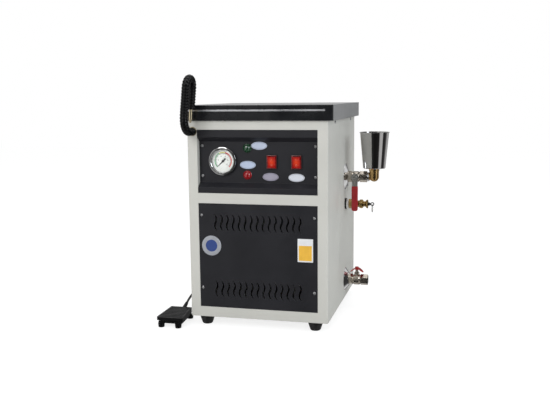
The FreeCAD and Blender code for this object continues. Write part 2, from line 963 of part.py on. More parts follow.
def runs_back(edge):
    return abs(edge.Vertexes[0].Point.y - edge.Vertexes[1].Point.y) > 1


def make_switch_housings():
    housings = []
    for x in switch_places:
        half_w = switch_width / 2
        half_h = switch_height / 2
        rim_y = panel_face_y - switch_bezel
        bezel = box(x - half_w, x + half_w, rim_y, panel_face_y, switch_z - half_h, switch_z + half_h)
        bezel = filleted(bezel, switch_corner, runs_back)
        body_w = switch_body_half_width
        body_h = switch_body_half_height
        back = panel_face_y + switch_body_depth
        body = box(x - body_w, x + body_w, panel_face_y - overlap, back, switch_z - body_h, switch_z + body_h)
        room_w = body_w - switch_wall
        room_h = body_h - switch_wall
        room_y = (rim_y - overlap, panel_face_y + rocker_tail + 3 * hole_clearance + sheet)
        room = box(x - room_w, x + room_w, *room_y, switch_z - room_h, switch_z + room_h)
        pin_reach = rocker_width / 2 + rocker_pin_length + hole_clearance
        bore_start = V(x - pin_reach, pivot_y, switch_z)
        bore = rod(bore_start, RIGHT, rocker_pin_radius + running_clearance, 2 * pin_reach)
        housings.append(fused([bezel, body]).cut([room, bore]))
    return Part.makeCompound(housings)


def make_rocker(x):
    half_h = rocker_height / 2
    half_w = rocker_width / 2
    front = panel_face_y - rocker_proud
    outline = [
        V(x - half_w, front, switch_z + half_h),
        V(x - half_w, front + rocker_dish, switch_z),
        V(x - half_w, front, switch_z - half_h),
        V(x - half_w, panel_face_y, switch_z - half_h),
        V(x - half_w, panel_face_y + rocker_tail, switch_z - half_h / 2),
        V(x - half_w, panel_face_y + rocker_tail, switch_z + half_h / 2),
        V(x - half_w, panel_face_y, switch_z + half_h),
    ]
    cap = Part.Face(Part.makePolygon(outline + outline[:1])).extrude(V(rocker_width, 0, 0))
    reach = half_w + rocker_pin_length
    pin = rod(V(x - reach, pivot_y, switch_z), RIGHT, rocker_pin_radius, 2 * reach)
    rocker = fused([cap, pin])
    rocker.rotate(V(x, pivot_y, switch_z), RIGHT, rocker_tilt)
    return rocker


# Steam hose

hose_low_bend = hose_front_reach - hose_straight - gland_flange
hose_arch_bend = (hose_front_reach - hose_back_reach) / 2
hose_front_y = front_y - hose_front_reach
hose_back_y = front_y - hose_back_reach


def hose_stations():
    # The hose's centre line as runs: (length, place, heading) for any distance along it.
    low_centre = V(hose_x, hose_start_y - hose_straight, hose_z + hose_low_bend)
    arch_centre = V(hose_x, hose_front_y + hose_arch_bend, hose_arch_height - hose_arch_bend)
    rise = arch_centre.z - low_centre.z
    fall = arch_centre.z - hose_end_height

    def low_arc(s):
        a = s / hose_low_bend
        place = low_centre + V(0, -math.sin(a), -math.cos(a)) * hose_low_bend
        return place, V(0, -math.cos(a), math.sin(a))

    def arch(s):
        a = s / hose_arch_bend
        place = arch_centre + V(0, -math.cos(a), math.sin(a)) * hose_arch_bend
        return place, V(0, math.sin(a), math.cos(a))

    return [
        (hose_straight, lambda s: (V(hose_x, hose_start_y - s, hose_z), FRONT)),
        (hose_low_bend * math.pi / 2, low_arc),
        (rise, lambda s: (V(hose_x, hose_front_y, low_centre.z + s), UP)),
        (hose_arch_bend * math.pi, arch),
        (fall, lambda s: (V(hose_x, hose_back_y, arch_centre.z - s), DOWN)),
    ]


def hose_place(distance, runs):
    for length, place in runs:
        if distance <= length + 1e-9:
            return place(distance)
        distance -= length
    return runs[-1][1](runs[-1][0])


def hose_circle(distance, radius, runs):
    place, heading = hose_place(distance, runs)
    ring = Part.Wire([Part.makeCircle(radius)])
    turn = FreeCAD.Rotation(RIGHT, heading.cross(RIGHT), heading, "ZXY")
    ring.Placement = FreeCAD.Placement(place, turn)
    return ring


def leaned(thing):
    # The hose leans to the right, turned about its straight run out of the gland.
    turn = FreeCAD.Placement(V(0, 0, 0), FreeCAD.Rotation(BACK, hose_lean), V(hose_x, 0, hose_z))
    if isinstance(thing, V):
        return turn.multVec(thing)
    thing.Placement = turn.multiply(thing.Placement)
    return thing


def hose_wire(start_y, end_z):
    arch_z = hose_arch_height
    points = [
        V(hose_x, start_y, hose_z),
        V(hose_x, hose_front_y, hose_z),
        V(hose_x, hose_front_y, arch_z),
        V(hose_x, hose_back_y, arch_z),
        V(hose_x, hose_back_y, end_z),
    ]
    return points, [hose_low_bend, hose_arch_bend, hose_arch_bend]


def make_steam_hose():
    runs = hose_stations()
    length = sum(run[0] for run in runs)
    count = round(length / hose_pitch)
    pitch = length / count
    root = hose_radius - hose_groove
    rings = []
    for k in range(count):
        crest_end = hose_ring_flank + hose_ring_crest
        rings.append(hose_circle(k * pitch, root, runs))
        rings.append(hose_circle((k + hose_ring_flank) * pitch, hose_radius, runs))
        rings.append(hose_circle((k + crest_end) * pitch, hose_radius, runs))
        rings.append(hose_circle((k + crest_end + hose_ring_flank) * pitch, root, runs))
    rings.append(hose_circle(length, root, runs))
    body = Part.makeLoft(rings, True, True)
    bore = pipe_along(rounded_route(*hose_wire(hose_start_y, hose_end_height)), hose_bore_radius)
    print("hose length", round(length, 1), "ribs", count)
    return leaned(body.cut(bore))


def make_hose_gland():
    seat = V(hose_x, front_y, hose_z)
    flange = rod(seat, FRONT, gland_flange_radius, gland_flange)
    thread = rod(seat + FRONT * overlap, BACK, gland_thread_radius, sheet + gland_nut_height + 2 * overlap)
    nut = hex_rod(seat + BACK * sheet, BACK, gland_nut_flats, gland_nut_height)
    bore_length = gland_flange + sheet + gland_nut_height + 4 * overlap
    bore = rod(seat + FRONT * (gland_flange + overlap), BACK, pipe_radius + pipe_fit, bore_length)
    return fused([flange, thread, nut]).cut(bore)


def make_steam_pipe():
    # Inside the cabinet the pipe runs back, down and across to the solenoid valve.
    outside, bends = hose_wire(0, hose_end_height)
    turn_y = steam_port.y
    solenoid_x = steam_port.x - solenoid_width / 2
    solenoid_z = port_top + solenoid_rise + solenoid_height / 2
    inside = [V(solenoid_x, turn_y, solenoid_z), V(hose_x, turn_y, solenoid_z), V(hose_x, turn_y, hose_z)]
    wire = rounded_route(inside + [leaned(point) for point in outside[1:]], [pipe_bend, pipe_bend] + bends)
    return pipe_along(wire, pipe_radius).cut(pipe_along(wire, pipe_radius - pipe_wall))


def make_steam_nozzle():
    top = V(hose_x, hose_back_y, hose_end_height)
    collar = hose_bore_radius - nozzle_collar_gap
    profile = [
        (-nozzle_collar, pipe_radius + pipe_fit),
        (-nozzle_collar, collar),
        (0, collar),
        (0, nozzle_radius),
        (nozzle_length, nozzle_radius),
        (nozzle_length + nozzle_taper, nozzle_tip_radius),
        (nozzle_length + nozzle_taper, nozzle_jet_radius),
        (0, nozzle_jet_radius),
        (0, pipe_radius + pipe_fit),
    ]
    return leaned(turned(profile, top, DOWN))


# Fittings on the right wall


def rosette(height, radius, thickness):
    hole = thread_radius + hole_clearance
    profile = [
        (0, hole),
        (0, radius),
        (rosette_edge, radius),
        (thickness, rosette_crown),
        (thickness, hole),
    ]
    return turned(profile, V(wall_x, fittings_y, height), RIGHT)


fill_valve_x = wall_x + fill_rosette_thickness
drain_valve_x = wall_x + drain_rosette_thickness


def valve_centre(start_x, height):
    return V(start_x + valve_inlet_length + valve_ball_length / 2, fittings_y, height)


def valve_end(start_x):
    return start_x + valve_inlet_length + valve_ball_length + valve_outlet_length


def make_valve_body(start_x, height, stem_direction):
    # A ball valve: two hexagon ends, a round middle, a thread through the wall and a stem collar.
    start = V(start_x, fittings_y, height)
    centre = valve_centre(start_x, height)
    half_ball = valve_ball_length / 2 + overlap
    profile = [
        (-half_ball, 0),
        (-half_ball, valve_waist_radius),
        (-half_ball / 2, valve_ball_radius),
        (half_ball / 2, valve_ball_radius),
        (half_ball, valve_waist_radius),
        (half_ball, 0),
    ]
    inward = start_x - thread_end
    body = fused(
        [
            rod(start + LEFT * inward, RIGHT, thread_radius, inward + overlap),
            hex_rod(start, RIGHT, valve_flats, valve_inlet_length),
            turned(profile, centre, RIGHT),
            hex_rod(centre + RIGHT * (half_ball - overlap), RIGHT, valve_flats, valve_outlet_length),
            rod(centre, stem_direction, stem_collar_radius, valve_ball_radius + stem_collar_height),
        ]
    )
    chamber = Part.makeSphere(ball_radius + ball_clearance, centre, RIGHT)
    through = inward + valve_end(start_x) - start_x + 2 * overlap
    bore = rod(start + LEFT * (inward + overlap), RIGHT, valve_bore_radius, through)
    stem_length = valve_ball_radius + stem_collar_height + overlap
    stem_bore = rod(centre, stem_direction, stem_radius + running_clearance, stem_length)
    end = V(valve_end(start_x) - socket_depth, fittings_y, height)
    socket = rod(end, RIGHT, socket_radius, socket_depth + overlap)
    return body.cut([chamber, bore, stem_bore, socket])


def make_valve_stem(start_x, height, stem_direction, stem_top):
    # The bored ball and its stem turn together with the handle.
    centre = valve_centre(start_x, height)
    ball = Part.makeSphere(ball_radius, centre, RIGHT)
    ball = ball.cut(rod(centre + LEFT * 2 * ball_radius, RIGHT, valve_bore_radius, 4 * ball_radius))
    stem_foot = ball_radius - stem_sunk
    stem = rod(centre + stem_direction * stem_foot, stem_direction, stem_radius, stem_top - stem_foot)
    return fused([ball, stem])


def lever_level():
    # Distance from the valve's axis to the back face of the lever.
    return valve_ball_radius + stem_collar_height + lever_gap


def is_end_corner(edge, middle_y, low):
    return is_at(edge.CenterOfMass.z, low) and is_at(edge.CenterOfMass.y, middle_y)


def make_fill_lever():
    centre = valve_centre(fill_valve_x, fill_height) + FRONT * lever_level()
    half = lever_width / 2
    hub = rod(centre, FRONT, lever_hub_radius, lever_thickness)
    arm = box(
        centre.x - half,
        centre.x + half,
        centre.y - lever_thickness,
        centre.y,
        centre.z - lever_length,
        centre.z,
    )
    low = centre.z - lever_length
    middle_y = centre.y - lever_thickness / 2
    arm = filleted(arm, lever_corner, lambda e: is_end_corner(e, middle_y, low))
    nut = hex_rod(centre + FRONT * lever_thickness, FRONT, stem_nut_flats, stem_nut_height)
    lever = fused([hub, arm, nut])
    return lever.cut(rod(centre + BACK, FRONT, stem_radius, lever_thickness + 1))


def make_fill_grip():
    centre = valve_centre(fill_valve_x, fill_height) + FRONT * (lever_level() + lever_thickness / 2)
    half_w = grip_width / 2
    half_t = grip_thickness / 2
    tip = centre.z - lever_length - grip_tip
    left = centre.x - half_w
    front = centre.y - half_t
    sleeve = box(left, left + grip_width, front, front + grip_thickness, tip, tip + grip_length)
    sleeve = filleted(sleeve, grip_corner, lambda e: is_end_corner(e, centre.y, tip))
    half = lever_width / 2
    arm = box(
        centre.x - half,
        centre.x + half,
        centre.y - lever_thickness / 2,
        centre.y + lever_thickness / 2,
        centre.z - lever_length,
        tip + grip_length + overlap,
    )
    return sleeve.cut(arm)


def elbow_x():
    return valve_end(fill_valve_x) + elbow_reach


def make_fill_elbow():
    # A short cast elbow with a round heel, on a nipple that stands in the valve.
    start = V(valve_end(fill_valve_x) - socket_depth, fittings_y, fill_height)
    corner = V(elbow_x(), fittings_y, fill_height)
    top = corner + UP * elbow_rise
    nipple = rod(start, RIGHT, socket_radius - pipe_fit, socket_depth + elbow_reach)
    heel = Part.makeSphere(elbow_radius, corner, RIGHT)
    upright = rod(corner, UP, elbow_radius, elbow_rise)
    collar = rod(top + DOWN * elbow_collar, UP, elbow_radius + elbow_collar_proud, elbow_collar)
    shell = fused([nipple, heel, upright, collar])
    bore = rounded_route([start + LEFT, corner, top + UP], [elbow_bend])
    return shell.cut(pipe_along(bore, elbow_bore_radius))


def make_fill_cup():
    base = V(elbow_x(), fittings_y, fill_height + elbow_rise)
    hole = elbow_bore_radius - cup_stub_wall
    stub_radius = elbow_bore_radius - pipe_fit
    profile = [
        (-cup_stub, hole),
        (-cup_stub, stub_radius),
        (0, stub_radius),
        (0, cup_base_radius - cup_foot_bend),
        (cup_foot_bend, cup_base_radius),
        (cup_height - cup_bead, cup_rim_radius - cup_bead),
        (cup_height - cup_bead, cup_rim_radius),
        (cup_height, cup_rim_radius),
        (cup_height, cup_rim_radius - cup_bead - cup_wall),
        (2 * cup_wall, cup_base_radius - cup_wall),
        (cup_wall, cup_base_radius - 3 * cup_wall),
        (cup_wall, hole),
    ]
    return turned(profile, base, UP)


def make_safety_washer():
    # A wide soft disc with a smaller hard one moulded to it.
    edge = 1.0
    full = safety_washer_thickness + safety_collar_thickness
    profile = [
        (0, thread_radius + hole_clearance),
        (0, safety_washer_radius),
        (safety_washer_thickness - edge, safety_washer_radius),
        (safety_washer_thickness, safety_washer_radius - edge),
        (safety_washer_thickness, safety_collar_radius),
        (full - edge, safety_collar_radius),
        (full, safety_collar_radius - edge),
        (full, thread_radius + hole_clearance),
    ]
    return turned(profile, V(wall_x, fittings_y, safety_height), RIGHT)


def safety_hex_x():
    return wall_x + safety_washer_thickness + safety_collar_thickness


def safety_end():
    return safety_hex_x() + safety_hex_length + safety_barrel_length


def make_safety_valve_body():
    # A thread into the boiler's stub, a hexagon and a spring barrel with two flared collars.
    hex_x = safety_hex_x()
    start = V(hex_x, fittings_y, safety_height)
    inward = hex_x - stub_end + safety_nipple_depth
    thread = hex_x - inner_wall_x + overlap
    waist = safety_barrel_radius
    flare = safety_flare_radius
    third = safety_barrel_length / 3
    profile = [
        (-overlap, 0),
        (-overlap, waist),
        (third * 0.5, waist),
        (third * 0.9, flare),
        (third * 1.5, flare),
        (third * 1.9, waist * 0.8),
        (third * 2.3, waist * 0.8),
        (third * 2.7, flare * 0.95),
        (third * 3.0, flare),
        (third * 3.0, 0),
    ]
    barrel = turned(profile, V(hex_x + safety_hex_length, fittings_y, safety_height), RIGHT)
    body = fused(
        [
            hex_rod(start, RIGHT, safety_flats, safety_hex_length),
            rod(start + LEFT * inward, RIGHT, safety_nipple_radius, inward + overlap),
            rod(start + LEFT * thread, RIGHT, thread_radius, thread + overlap),
            barrel,
        ]
    )
    mouth = V(safety_end() + overlap, fittings_y, safety_height)
    stem_bore = rod(mouth, LEFT, safety_stem_radius + running_clearance, safety_stem_depth + 3 * overlap)
    steam_bore = rod(start + LEFT * (inward + overlap), RIGHT, safety_bore_radius, inward + safety_hex_length)
    return body.cut([stem_bore, steam_bore])


def make_safety_stem():
    base = V(safety_end() - safety_stem_depth, fittings_y, safety_height)
    eye_centre = V(safety_end() + safety_stem_reach, fittings_y, safety_height)
    stem = rod(base, RIGHT, safety_stem_radius, safety_stem_depth + safety_stem_reach - safety_eye_hole)
    eye = rod(eye_centre + FRONT * safety_eye_thickness / 2, BACK, safety_eye_radius, safety_eye_thickness)
    hole = rod(eye_centre + FRONT * 2 * safety_stem_radius, BACK, safety_eye_hole, 4 * safety_stem_radius)
    cap_start = V(safety_end() + safety_cap_gap, fittings_y, safety_height)
    cap = rod(cap_start, RIGHT, safety_cap_radius, safety_cap_thickness)
    return fused([stem, eye, cap]).cut(hole)


def make_safety_ring():
    # The pull ring hangs in the eye of the stem, its wire resting low in the hole.
    drop = safety_eye_hole - ring_wire - ring_slack
    top = V(safety_end() + safety_stem_reach, fittings_y, safety_height - drop)
    return Part.makeTorus(ring_radius, ring_wire, top + DOWN * ring_radius, RIGHT)


def wing_level():
    return lever_level() + wing_lift


def make_drain_handle():
    # A bent plate with rounded ends: both wings droop from the nut on the stem.
    centre = valve_centre(drain_valve_x, drain_height) + UP * wing_level()
    half = wing_length / 2
    outline = [
        V(-half, 0, -wing_drop),
        V(-wing_bend, 0, 0),
        V(wing_bend, 0, 0),
        V(half, 0, -wing_drop),
        V(half, 0, wing_thickness - wing_drop),
        V(wing_bend, 0, wing_thickness),
        V(-wing_bend, 0, wing_thickness),
        V(-half, 0, wing_thickness - wing_drop),
    ]
    wings = Part.Face(Part.makePolygon(outline + outline[:1])).extrude(V(0, wing_width, 0))
    wings.translate(centre + FRONT * wing_width / 2)
    round_end = wing_width / 2
    tip = half - round_end
    low = centre.z - wing_drop - overlap
    y = centre.y
    plan = [rod(V(centre.x + side * tip, y, low), UP, round_end, 2 * half) for side in (-1, 1)]
    plan.append(box(centre.x - tip, centre.x + tip, y - round_end, y + round_end, low, low + 2 * half))
    wings = wings.common(fused(plan))
    hub = rod(centre, UP, wing_hub_radius, wing_thickness)
    nut = hex_rod(centre + UP * wing_thickness, UP, stem_nut_flats, stem_nut_height)
    handle = fused([wings, hub, nut])
    return handle.cut(rod(centre + DOWN, UP, stem_radius, wing_thickness + 1))


# Boiler and what serves it


def boiler_shell(shrink):
    centre = V(0, fittings_y, boiler_bottom + shrink)
    body = rod(centre, UP, boiler_radius - shrink, boiler_height - 2 * shrink)
    low = boiler_bottom + shrink
    high = boiler_top - shrink
    ends = (low, high)
    return filleted(body, boiler_edge - shrink, lambda e: min(abs(e.CenterOfMass.z - z) for z in ends) < 1e-6)


def top_ports():
    spots = (V(fill_port_x, fittings_y, 0), steam_port, gauge_port, switch_port)
    return [V(spot.x, spot.y, boiler_top) for spot in spots]


def make_boiler():
    wall = 2 * boiler_wall
    inside_x = boiler_radius - 2 * wall
    front = V(0, fittings_y - boiler_radius - heater_boss_length, heater_height)
    drain = V(0, fittings_y, boiler_bottom - port_height)
    safety = V(inside_x, fittings_y, safety_height)
    boss_length = heater_boss_length + 2 * wall
    stub_length = stub_end - inside_x
    port_length = port_height + wall
    ports = [rod(port + DOWN * wall, UP, port_radius, port_length) for port in top_ports()]
    ports.append(rod(drain, UP, port_radius, port_length))
    ports.append(rod(safety, RIGHT, stub_radius, stub_length))
    ports.append(rod(front, BACK, heater_boss_radius, boss_length))
    body = fused([boiler_shell(0)] + ports)
    bore = service_pipe_radius + pipe_fit
    holes = [rod(port + DOWN * 2 * wall, UP, bore, port_length + 2 * wall) for port in top_ports()]
    holes.append(rod(drain + DOWN, UP, bore, port_length + 2 * wall))
    holes.append(rod(safety + LEFT * wall, RIGHT, safety_nipple_radius + pipe_fit, stub_length + 2 * wall))
    holes.append(rod(front + FRONT, BACK, heater_boss_radius - 2 * wall, boss_length + 2 * wall))
    return body.cut([boiler_shell(boiler_wall)] + holes)


def make_boiler_stand():
    outer = boiler_radius - boiler_edge
    inner = outer - stand_ring_width
    z = boiler_bottom - stand_ring_height
    base = V(0, fittings_y, z)
    ring = rod(base, UP, outer, stand_ring_height).cut(rod(base, UP, inner, stand_ring_height))
    middle = (outer + inner) / 2 * math.sqrt(0.5)
    half = stand_leg / 2
    foot = foot_height + sheet
    pieces = [ring]
    for side in (-1, 1):
        for way in (-1, 1):
            x = side * middle
            y = fittings_y + way * middle
            pieces.append(box(x - half, x + half, y - half, y + half, foot, z + overlap))
            pad_top = foot + stand_pad
            pieces.append(box(x - stand_leg, x + stand_leg, y - stand_leg, y + stand_leg, foot, pad_top))
    return fused(pieces)


def make_heater():
    # A flange with its terminal cap outside and one bent heating rod inside the boiler.
    seat = V(0, fittings_y - boiler_radius - heater_boss_length, heater_height)
    flange = rod(seat, FRONT, heater_boss_radius, heater_flange)
    cap = rod(seat + FRONT * (heater_flange - overlap), FRONT, heater_cap_radius, heater_cap_length)
    spread = V(heater_rod_spread, 0, 0)
    far = BACK * heater_reach
    route = [seat + spread + FRONT, seat + spread + far, seat - spread + far, seat - spread + FRONT]
    bend = heater_rod_spread
    rods = pipe_along(rounded_route(route, [bend, bend]), heater_rod_radius)
    return fused([flange, cap, rods])


def port_plug(port):
    # A sleeve that stands in a boiler port, with a nut that rests on the port's rim.
    bottom = port + UP * (port_height - port_depth)
    return [
        rod(bottom, UP, service_pipe_radius, port_depth + overlap),
        rod(port + UP * port_height, UP, port_radius, pipe_nut),
    ]


def make_pressure_switch():
    port = V(switch_port.x, switch_port.y, boiler_top)
    z = port_top + pressure_switch_neck
    left = port.x - pressure_switch_width / 2
    front = port.y - pressure_switch_depth / 2
    corner = V(left, front, z)
    case = Part.makeBox(pressure_switch_width, pressure_switch_depth, pressure_switch_height, corner)
    case = filleted(case, pressure_switch_corner, is_upright)
    neck = rod(V(port.x, port.y, port_top), UP, service_pipe_radius, pressure_switch_neck + overlap)
    drum_start = V(port.x, port.y, z - pressure_switch_drum)
    drum = rod(drum_start, UP, pressure_switch_depth / 2, pressure_switch_drum + overlap)
    return fused([case, drum, neck] + port_plug(port))


def make_solenoid_body():
    port = V(steam_port.x, steam_port.y, boiler_top)
    z = port_top + solenoid_rise
    corner = V(port.x - solenoid_width / 2, port.y - solenoid_depth / 2, z)
    block = Part.makeBox(solenoid_width, solenoid_depth, solenoid_height, corner)
    neck = rod(V(port.x, port.y, port_top), UP, service_pipe_radius, solenoid_rise + overlap)
    tube_start = V(port.x, port.y, z + solenoid_height - overlap)
    tube = rod(tube_start, UP, solenoid_tube_radius, solenoid_coil_height + solenoid_tube_proud)
    return fused([block, neck, tube] + port_plug(port))


def make_solenoid_coil():
    z = port_top + solenoid_rise + solenoid_height
    base = V(steam_port.x, steam_port.y, z)
    coil = rod(base, UP, solenoid_coil_radius, solenoid_coil_height)
    plug_left = base.x - solenoid_plug_half
    plug_low = z + solenoid_plug_half
    plug_reach = solenoid_coil_radius + solenoid_plug_reach
    corner = V(plug_left, base.y, plug_low)
    plug = Part.makeBox(2 * solenoid_plug_half, plug_reach, solenoid_plug_height, corner)
    bore = rod(base, UP, solenoid_tube_radius + pipe_fit, solenoid_coil_height)
    return fused([coil, plug]).cut(bore)


def valve_tail(height, direction):
    # The end of an inner pipe, standing in the bore of a valve's thread.
    face = V(thread_end, fittings_y, height)
    sleeve_start = face - direction * pipe_sleeve
    sleeve = rod(sleeve_start, direction, valve_bore_radius - pipe_fit, pipe_sleeve + overlap)
    collar = rod(face, direction, thread_radius, pipe_nut)
    return [sleeve, collar]


def make_fill_pipe():
    end = V(fill_port_x, fittings_y, boiler_top)
    corner = V(fill_port_x, fittings_y, fill_height)
    route = [V(thread_end, fittings_y, fill_height), corner, end + UP * port_height]
    pipe = pipe_along(rounded_route(route, [service_pipe_bend]), service_pipe_radius)
    return fused([pipe] + valve_tail(fill_height, LEFT) + port_plug(end))


def make_drain_pipe():
    port = V(0, fittings_y, boiler_bottom - port_height)
    route = [V(thread_end, fittings_y, drain_height), V(0, fittings_y, drain_height), port]
    bend = port.z - drain_height - overlap
    pipe = pipe_along(rounded_route(route, [bend]), service_pipe_radius)
    spigot = rod(port + DOWN, UP, service_pipe_radius, port_depth + overlap)
    return fused([pipe, spigot] + valve_tail(drain_height, LEFT))


def make_gauge_pipe():
    port = V(gauge_port.x, gauge_port.y, boiler_top)
    start = gauge_seat + BACK * (gauge_case_depth + gauge_stem_length)
    over = port_top + gauge_pipe_rise
    route = [
        start,
        V(gauge_x, gauge_port.y, gauge_z),
        V(gauge_x, gauge_port.y, over),
        V(gauge_port.x, gauge_port.y, over),
        port + UP * port_height,
    ]
    pipe = pipe_along(rounded_route(route, [capillary_bend] * 3), capillary_radius)
    nut = rod(start, BACK, gauge_stem_radius - overlap, gauge_nut)
    return fused([pipe, nut] + port_plug(port))


# Cable glands


def cable_gland(seat, direction, bore):
    # seat is where the gland's hexagon meets the sheet. The far end is cut square for the cord.
    hexagon = cable_gland_reach / 2
    step = gland_dome_step
    dome = [
        (hexagon - overlap, 0),
        (hexagon - overlap, gland_radius - step / 2),
        (hexagon + step, gland_radius - step / 2),
        (cable_gland_reach - step, gland_radius - step),
        (cable_gland_reach, gland_radius - 2 * step),
        (cable_gland_reach, 0),
    ]
    inner = sheet + gland_thread_inside
    nut_start = seat - direction * sheet
    solid = fused(
        [
            hex_rod(seat, direction, cable_gland_flats, hexagon),
            turned(dome, seat, direction),
            rod(seat - direction * inner, direction, cable_gland_thread, inner + overlap),
            hex_rod(nut_start, direction * -1, cable_gland_flats, gland_nut_height),
        ]
    )
    if bore:
        through = 2 * inner + cable_gland_reach + overlap
        solid = solid.cut(rod(seat - direction * 2 * inner, direction, bore, through))
    return solid


def make_mains_gland():
    seat = V(half_width - mains_gland_from_right, back_y, mains_gland_height)
    return cable_gland(seat, BACK, mains_gland_bore)


def make_pedal_gland():
    seat = V(-half_width, back_y - pedal_gland_from_back, pedal_gland_height)
    return cable_gland(seat, LEFT, 0)


# Foot pedal

base_front = pedal_front + pedal_wall + pedal_front_gap
base_top = pedal_foot + pedal_base_height
base_inset = pedal_wall + pedal_side_gap
treadle_slope = (pedal_top_back - pedal_top_front) / (pedal_back - pedal_front)
treadle_taper = (pedal_front_width - pedal_back_width) / 2 / (pedal_back - pedal_front)


def treadle_underside(y):
    return pedal_top_front + (y - pedal_front) * treadle_slope - pedal_wall


def treadle_half(y):
    return pedal_front_width / 2 - (y - pedal_front) * treadle_taper


def pedal_prism(inset, y0, y1, z0, z1):
    # A block that tapers in plan as the treadle does, set in by a wall.
    a = treadle_half(y0) - inset
    b = treadle_half(y1) - inset
    corners = [
        V(pedal_x - a, y0, z0),
        V(pedal_x + a, y0, z0),
        V(pedal_x + b, y1, z0),
        V(pedal_x - b, y1, z0),
    ]
    return Part.Face(Part.makePolygon(corners + corners[:1])).extrude(V(0, 0, z1 - z0))


def pedal_wedge(y0, y1, drop):
    # Everything under the sloping top, to a depth below it.
    wide = pedal_front_width
    points = [(y0, 0), (y0, treadle_underside(y0) + drop), (y1, treadle_underside(y1) + drop), (y1, 0)]
    corners = [V(pedal_x - wide, y, z) for y, z in points]
    return Part.Face(Part.makePolygon(corners + corners[:1])).extrude(V(2 * wide, 0, 0))


def make_pedal_base():
    cheek_front = pedal_back - pedal_cheek_depth
    cheek_top = base_top + pedal_cheek_height
    plate = pedal_prism(base_inset, base_front, pedal_base_back, pedal_foot, base_top)
    cheeks = pedal_prism(base_inset, cheek_front, pedal_back, base_top - overlap, cheek_top)
    room_inset = base_inset + pedal_cheek_width
    room = pedal_prism(room_inset, cheek_front - overlap, pedal_back + overlap, base_top, 2 * cheek_top)
    rear_top = base_top + pedal_rear_wall
    wall_front = pedal_base_back - pedal_wall
    wall = pedal_prism(base_inset, wall_front, pedal_base_back, base_top - overlap, rear_top)
    seat = rod(V(pedal_x, spring_y, base_top - overlap), UP, spring_seat_radius, spring_seat_height + overlap)
    feet = []
    for side in (-1, 1):
        for y in (pedal_foot_front, pedal_foot_back):
            spot = V(pedal_x + side * pedal_foot_spread / 2, y, 0)
            sole = pedal_foot_radius - pedal_foot_taper
            feet.append(Part.makeCone(sole, pedal_foot_radius, pedal_foot + overlap, spot, UP))
    base = fused([plate, cheeks.cut(room), wall, seat] + feet)
    pin_hole = pedal_pin_radius + running_clearance
    edge = treadle_half(pedal_pin_y) - base_inset
    deep = pedal_pin_depth + 2 * overlap + hole_clearance
    holes = []
    for side, way in ((-1, RIGHT), (1, LEFT)):
        start = V(pedal_x + side * (edge + 2 * overlap), pedal_pin_y, pedal_pin_z)
        holes.append(rod(start, way, pin_hole, deep))
    return base.cut(holes)


def make_pedal_treadle():
    block = pedal_prism(0, pedal_front, pedal_back, pedal_skirt_bottom, 2 * pedal_top_back)
    block = filleted(block, pedal_corner, lambda e: is_upright(e) and is_at(e.CenterOfMass.y, pedal_front))
    block = block.common(pedal_wedge(pedal_front, pedal_back, pedal_wall))
    front = pedal_front + pedal_wall
    back = pedal_back + overlap
    room = pedal_prism(pedal_wall, front, back, pedal_skirt_bottom - overlap, 2 * pedal_top_back)
    tray = block.cut(room.common(pedal_wedge(front, back, 0)))
    ridges = []
    pitch = (pedal_back - pedal_front - 2 * pedal_ridge_margin) / (pedal_ridge_count - 1)
    for k in range(pedal_ridge_count):
        y = pedal_front + pedal_ridge_margin + k * pitch
        z = treadle_underside(y) + pedal_wall - overlap
        half = treadle_half(y) - pedal_corner
        ridge = rod(V(pedal_x - half, y, z), RIGHT, pedal_ridge_height + overlap, 2 * half)
        above = box(pedal_x - half, pedal_x + half, pedal_front, pedal_back, z, 2 * pedal_top_back)
        ridges.append(ridge.common(above))
    pins = []
    edge = treadle_half(pedal_pin_y)
    reach = base_inset + pedal_pin_depth - overlap
    for side, way in ((-1, RIGHT), (1, LEFT)):
        start = V(pedal_x + side * (edge - overlap), pedal_pin_y, pedal_pin_z)
        pins.append(rod(start, way, pedal_pin_radius, reach))
    return fused([tray] + ridges + pins)


def make_pedal_spring():
    # A compression spring between the base and the treadle.
    low = base_top + spring_wire
    high = treadle_underside(spring_y) - spring_gap - 2 * spring_wire
    quarters = 4 * spring_turns
    climb = (high - low) / quarters
    angle = math.pi / 2
    turn_height = climb / (spring_radius * angle)
    edges = []

    def station(k):
        a = k * angle
        around = V(math.cos(a), math.sin(a), 0) * spring_radius
        place = V(pedal_x, spring_y, low + k * climb) + around
        heading = V(-math.sin(a), math.cos(a), turn_height).normalize()
        return place, heading

    for k in range(quarters):
        start, heading = station(k)
        end, arrival = station(k + 1)
        edges += biarc(start, heading, end, arrival)
    return pipe_along(Part.Wire(edges), spring_wire)


def cord_exit():
    start = cord_run_route[0]
    return start, (cord_run_route[1] - start).normalize()


def make_pedal_boot():
    # A soft sleeve that leads the cord up out of the back of the pedal.
    end, heading = cord_exit()
    root = end - heading * boot_length
    cone = Part.makeCone(boot_root_radius, cord_radius + boot_tip_wall, boot_length, root, heading)
    half = boot_root_radius + boot_flange
    back = pedal_base_back
    block_top = base_top + pedal_rear_wall + boot_flange + overlap
    block = box(root.x - half, root.x + half, back, back + boot_block, pedal_foot, block_top)
    trimmed = cone.cut(box(root.x - 2 * half, root.x + 2 * half, back - 2 * half, back, 0, 2 * end.z))
    return fused([block, trimmed])


# Pedal cord


def report_cord(name, route, shape):
    bends = cord_bends(route)
    wire = rounded_route(route, bends)
    expected = math.pi * cord_radius**2 * wire.Length
    print(name, "length", round(wire.Length, 1), "smallest bend", round(min(bends), 1))
    print(name, "volume over section times length", round(shape.Volume / expected, 4))


def make_cord(name, route):
    shape = pipe_along(rounded_route(route, cord_bends(route)), cord_radius)
    report_cord(name, route, shape)
    return shape


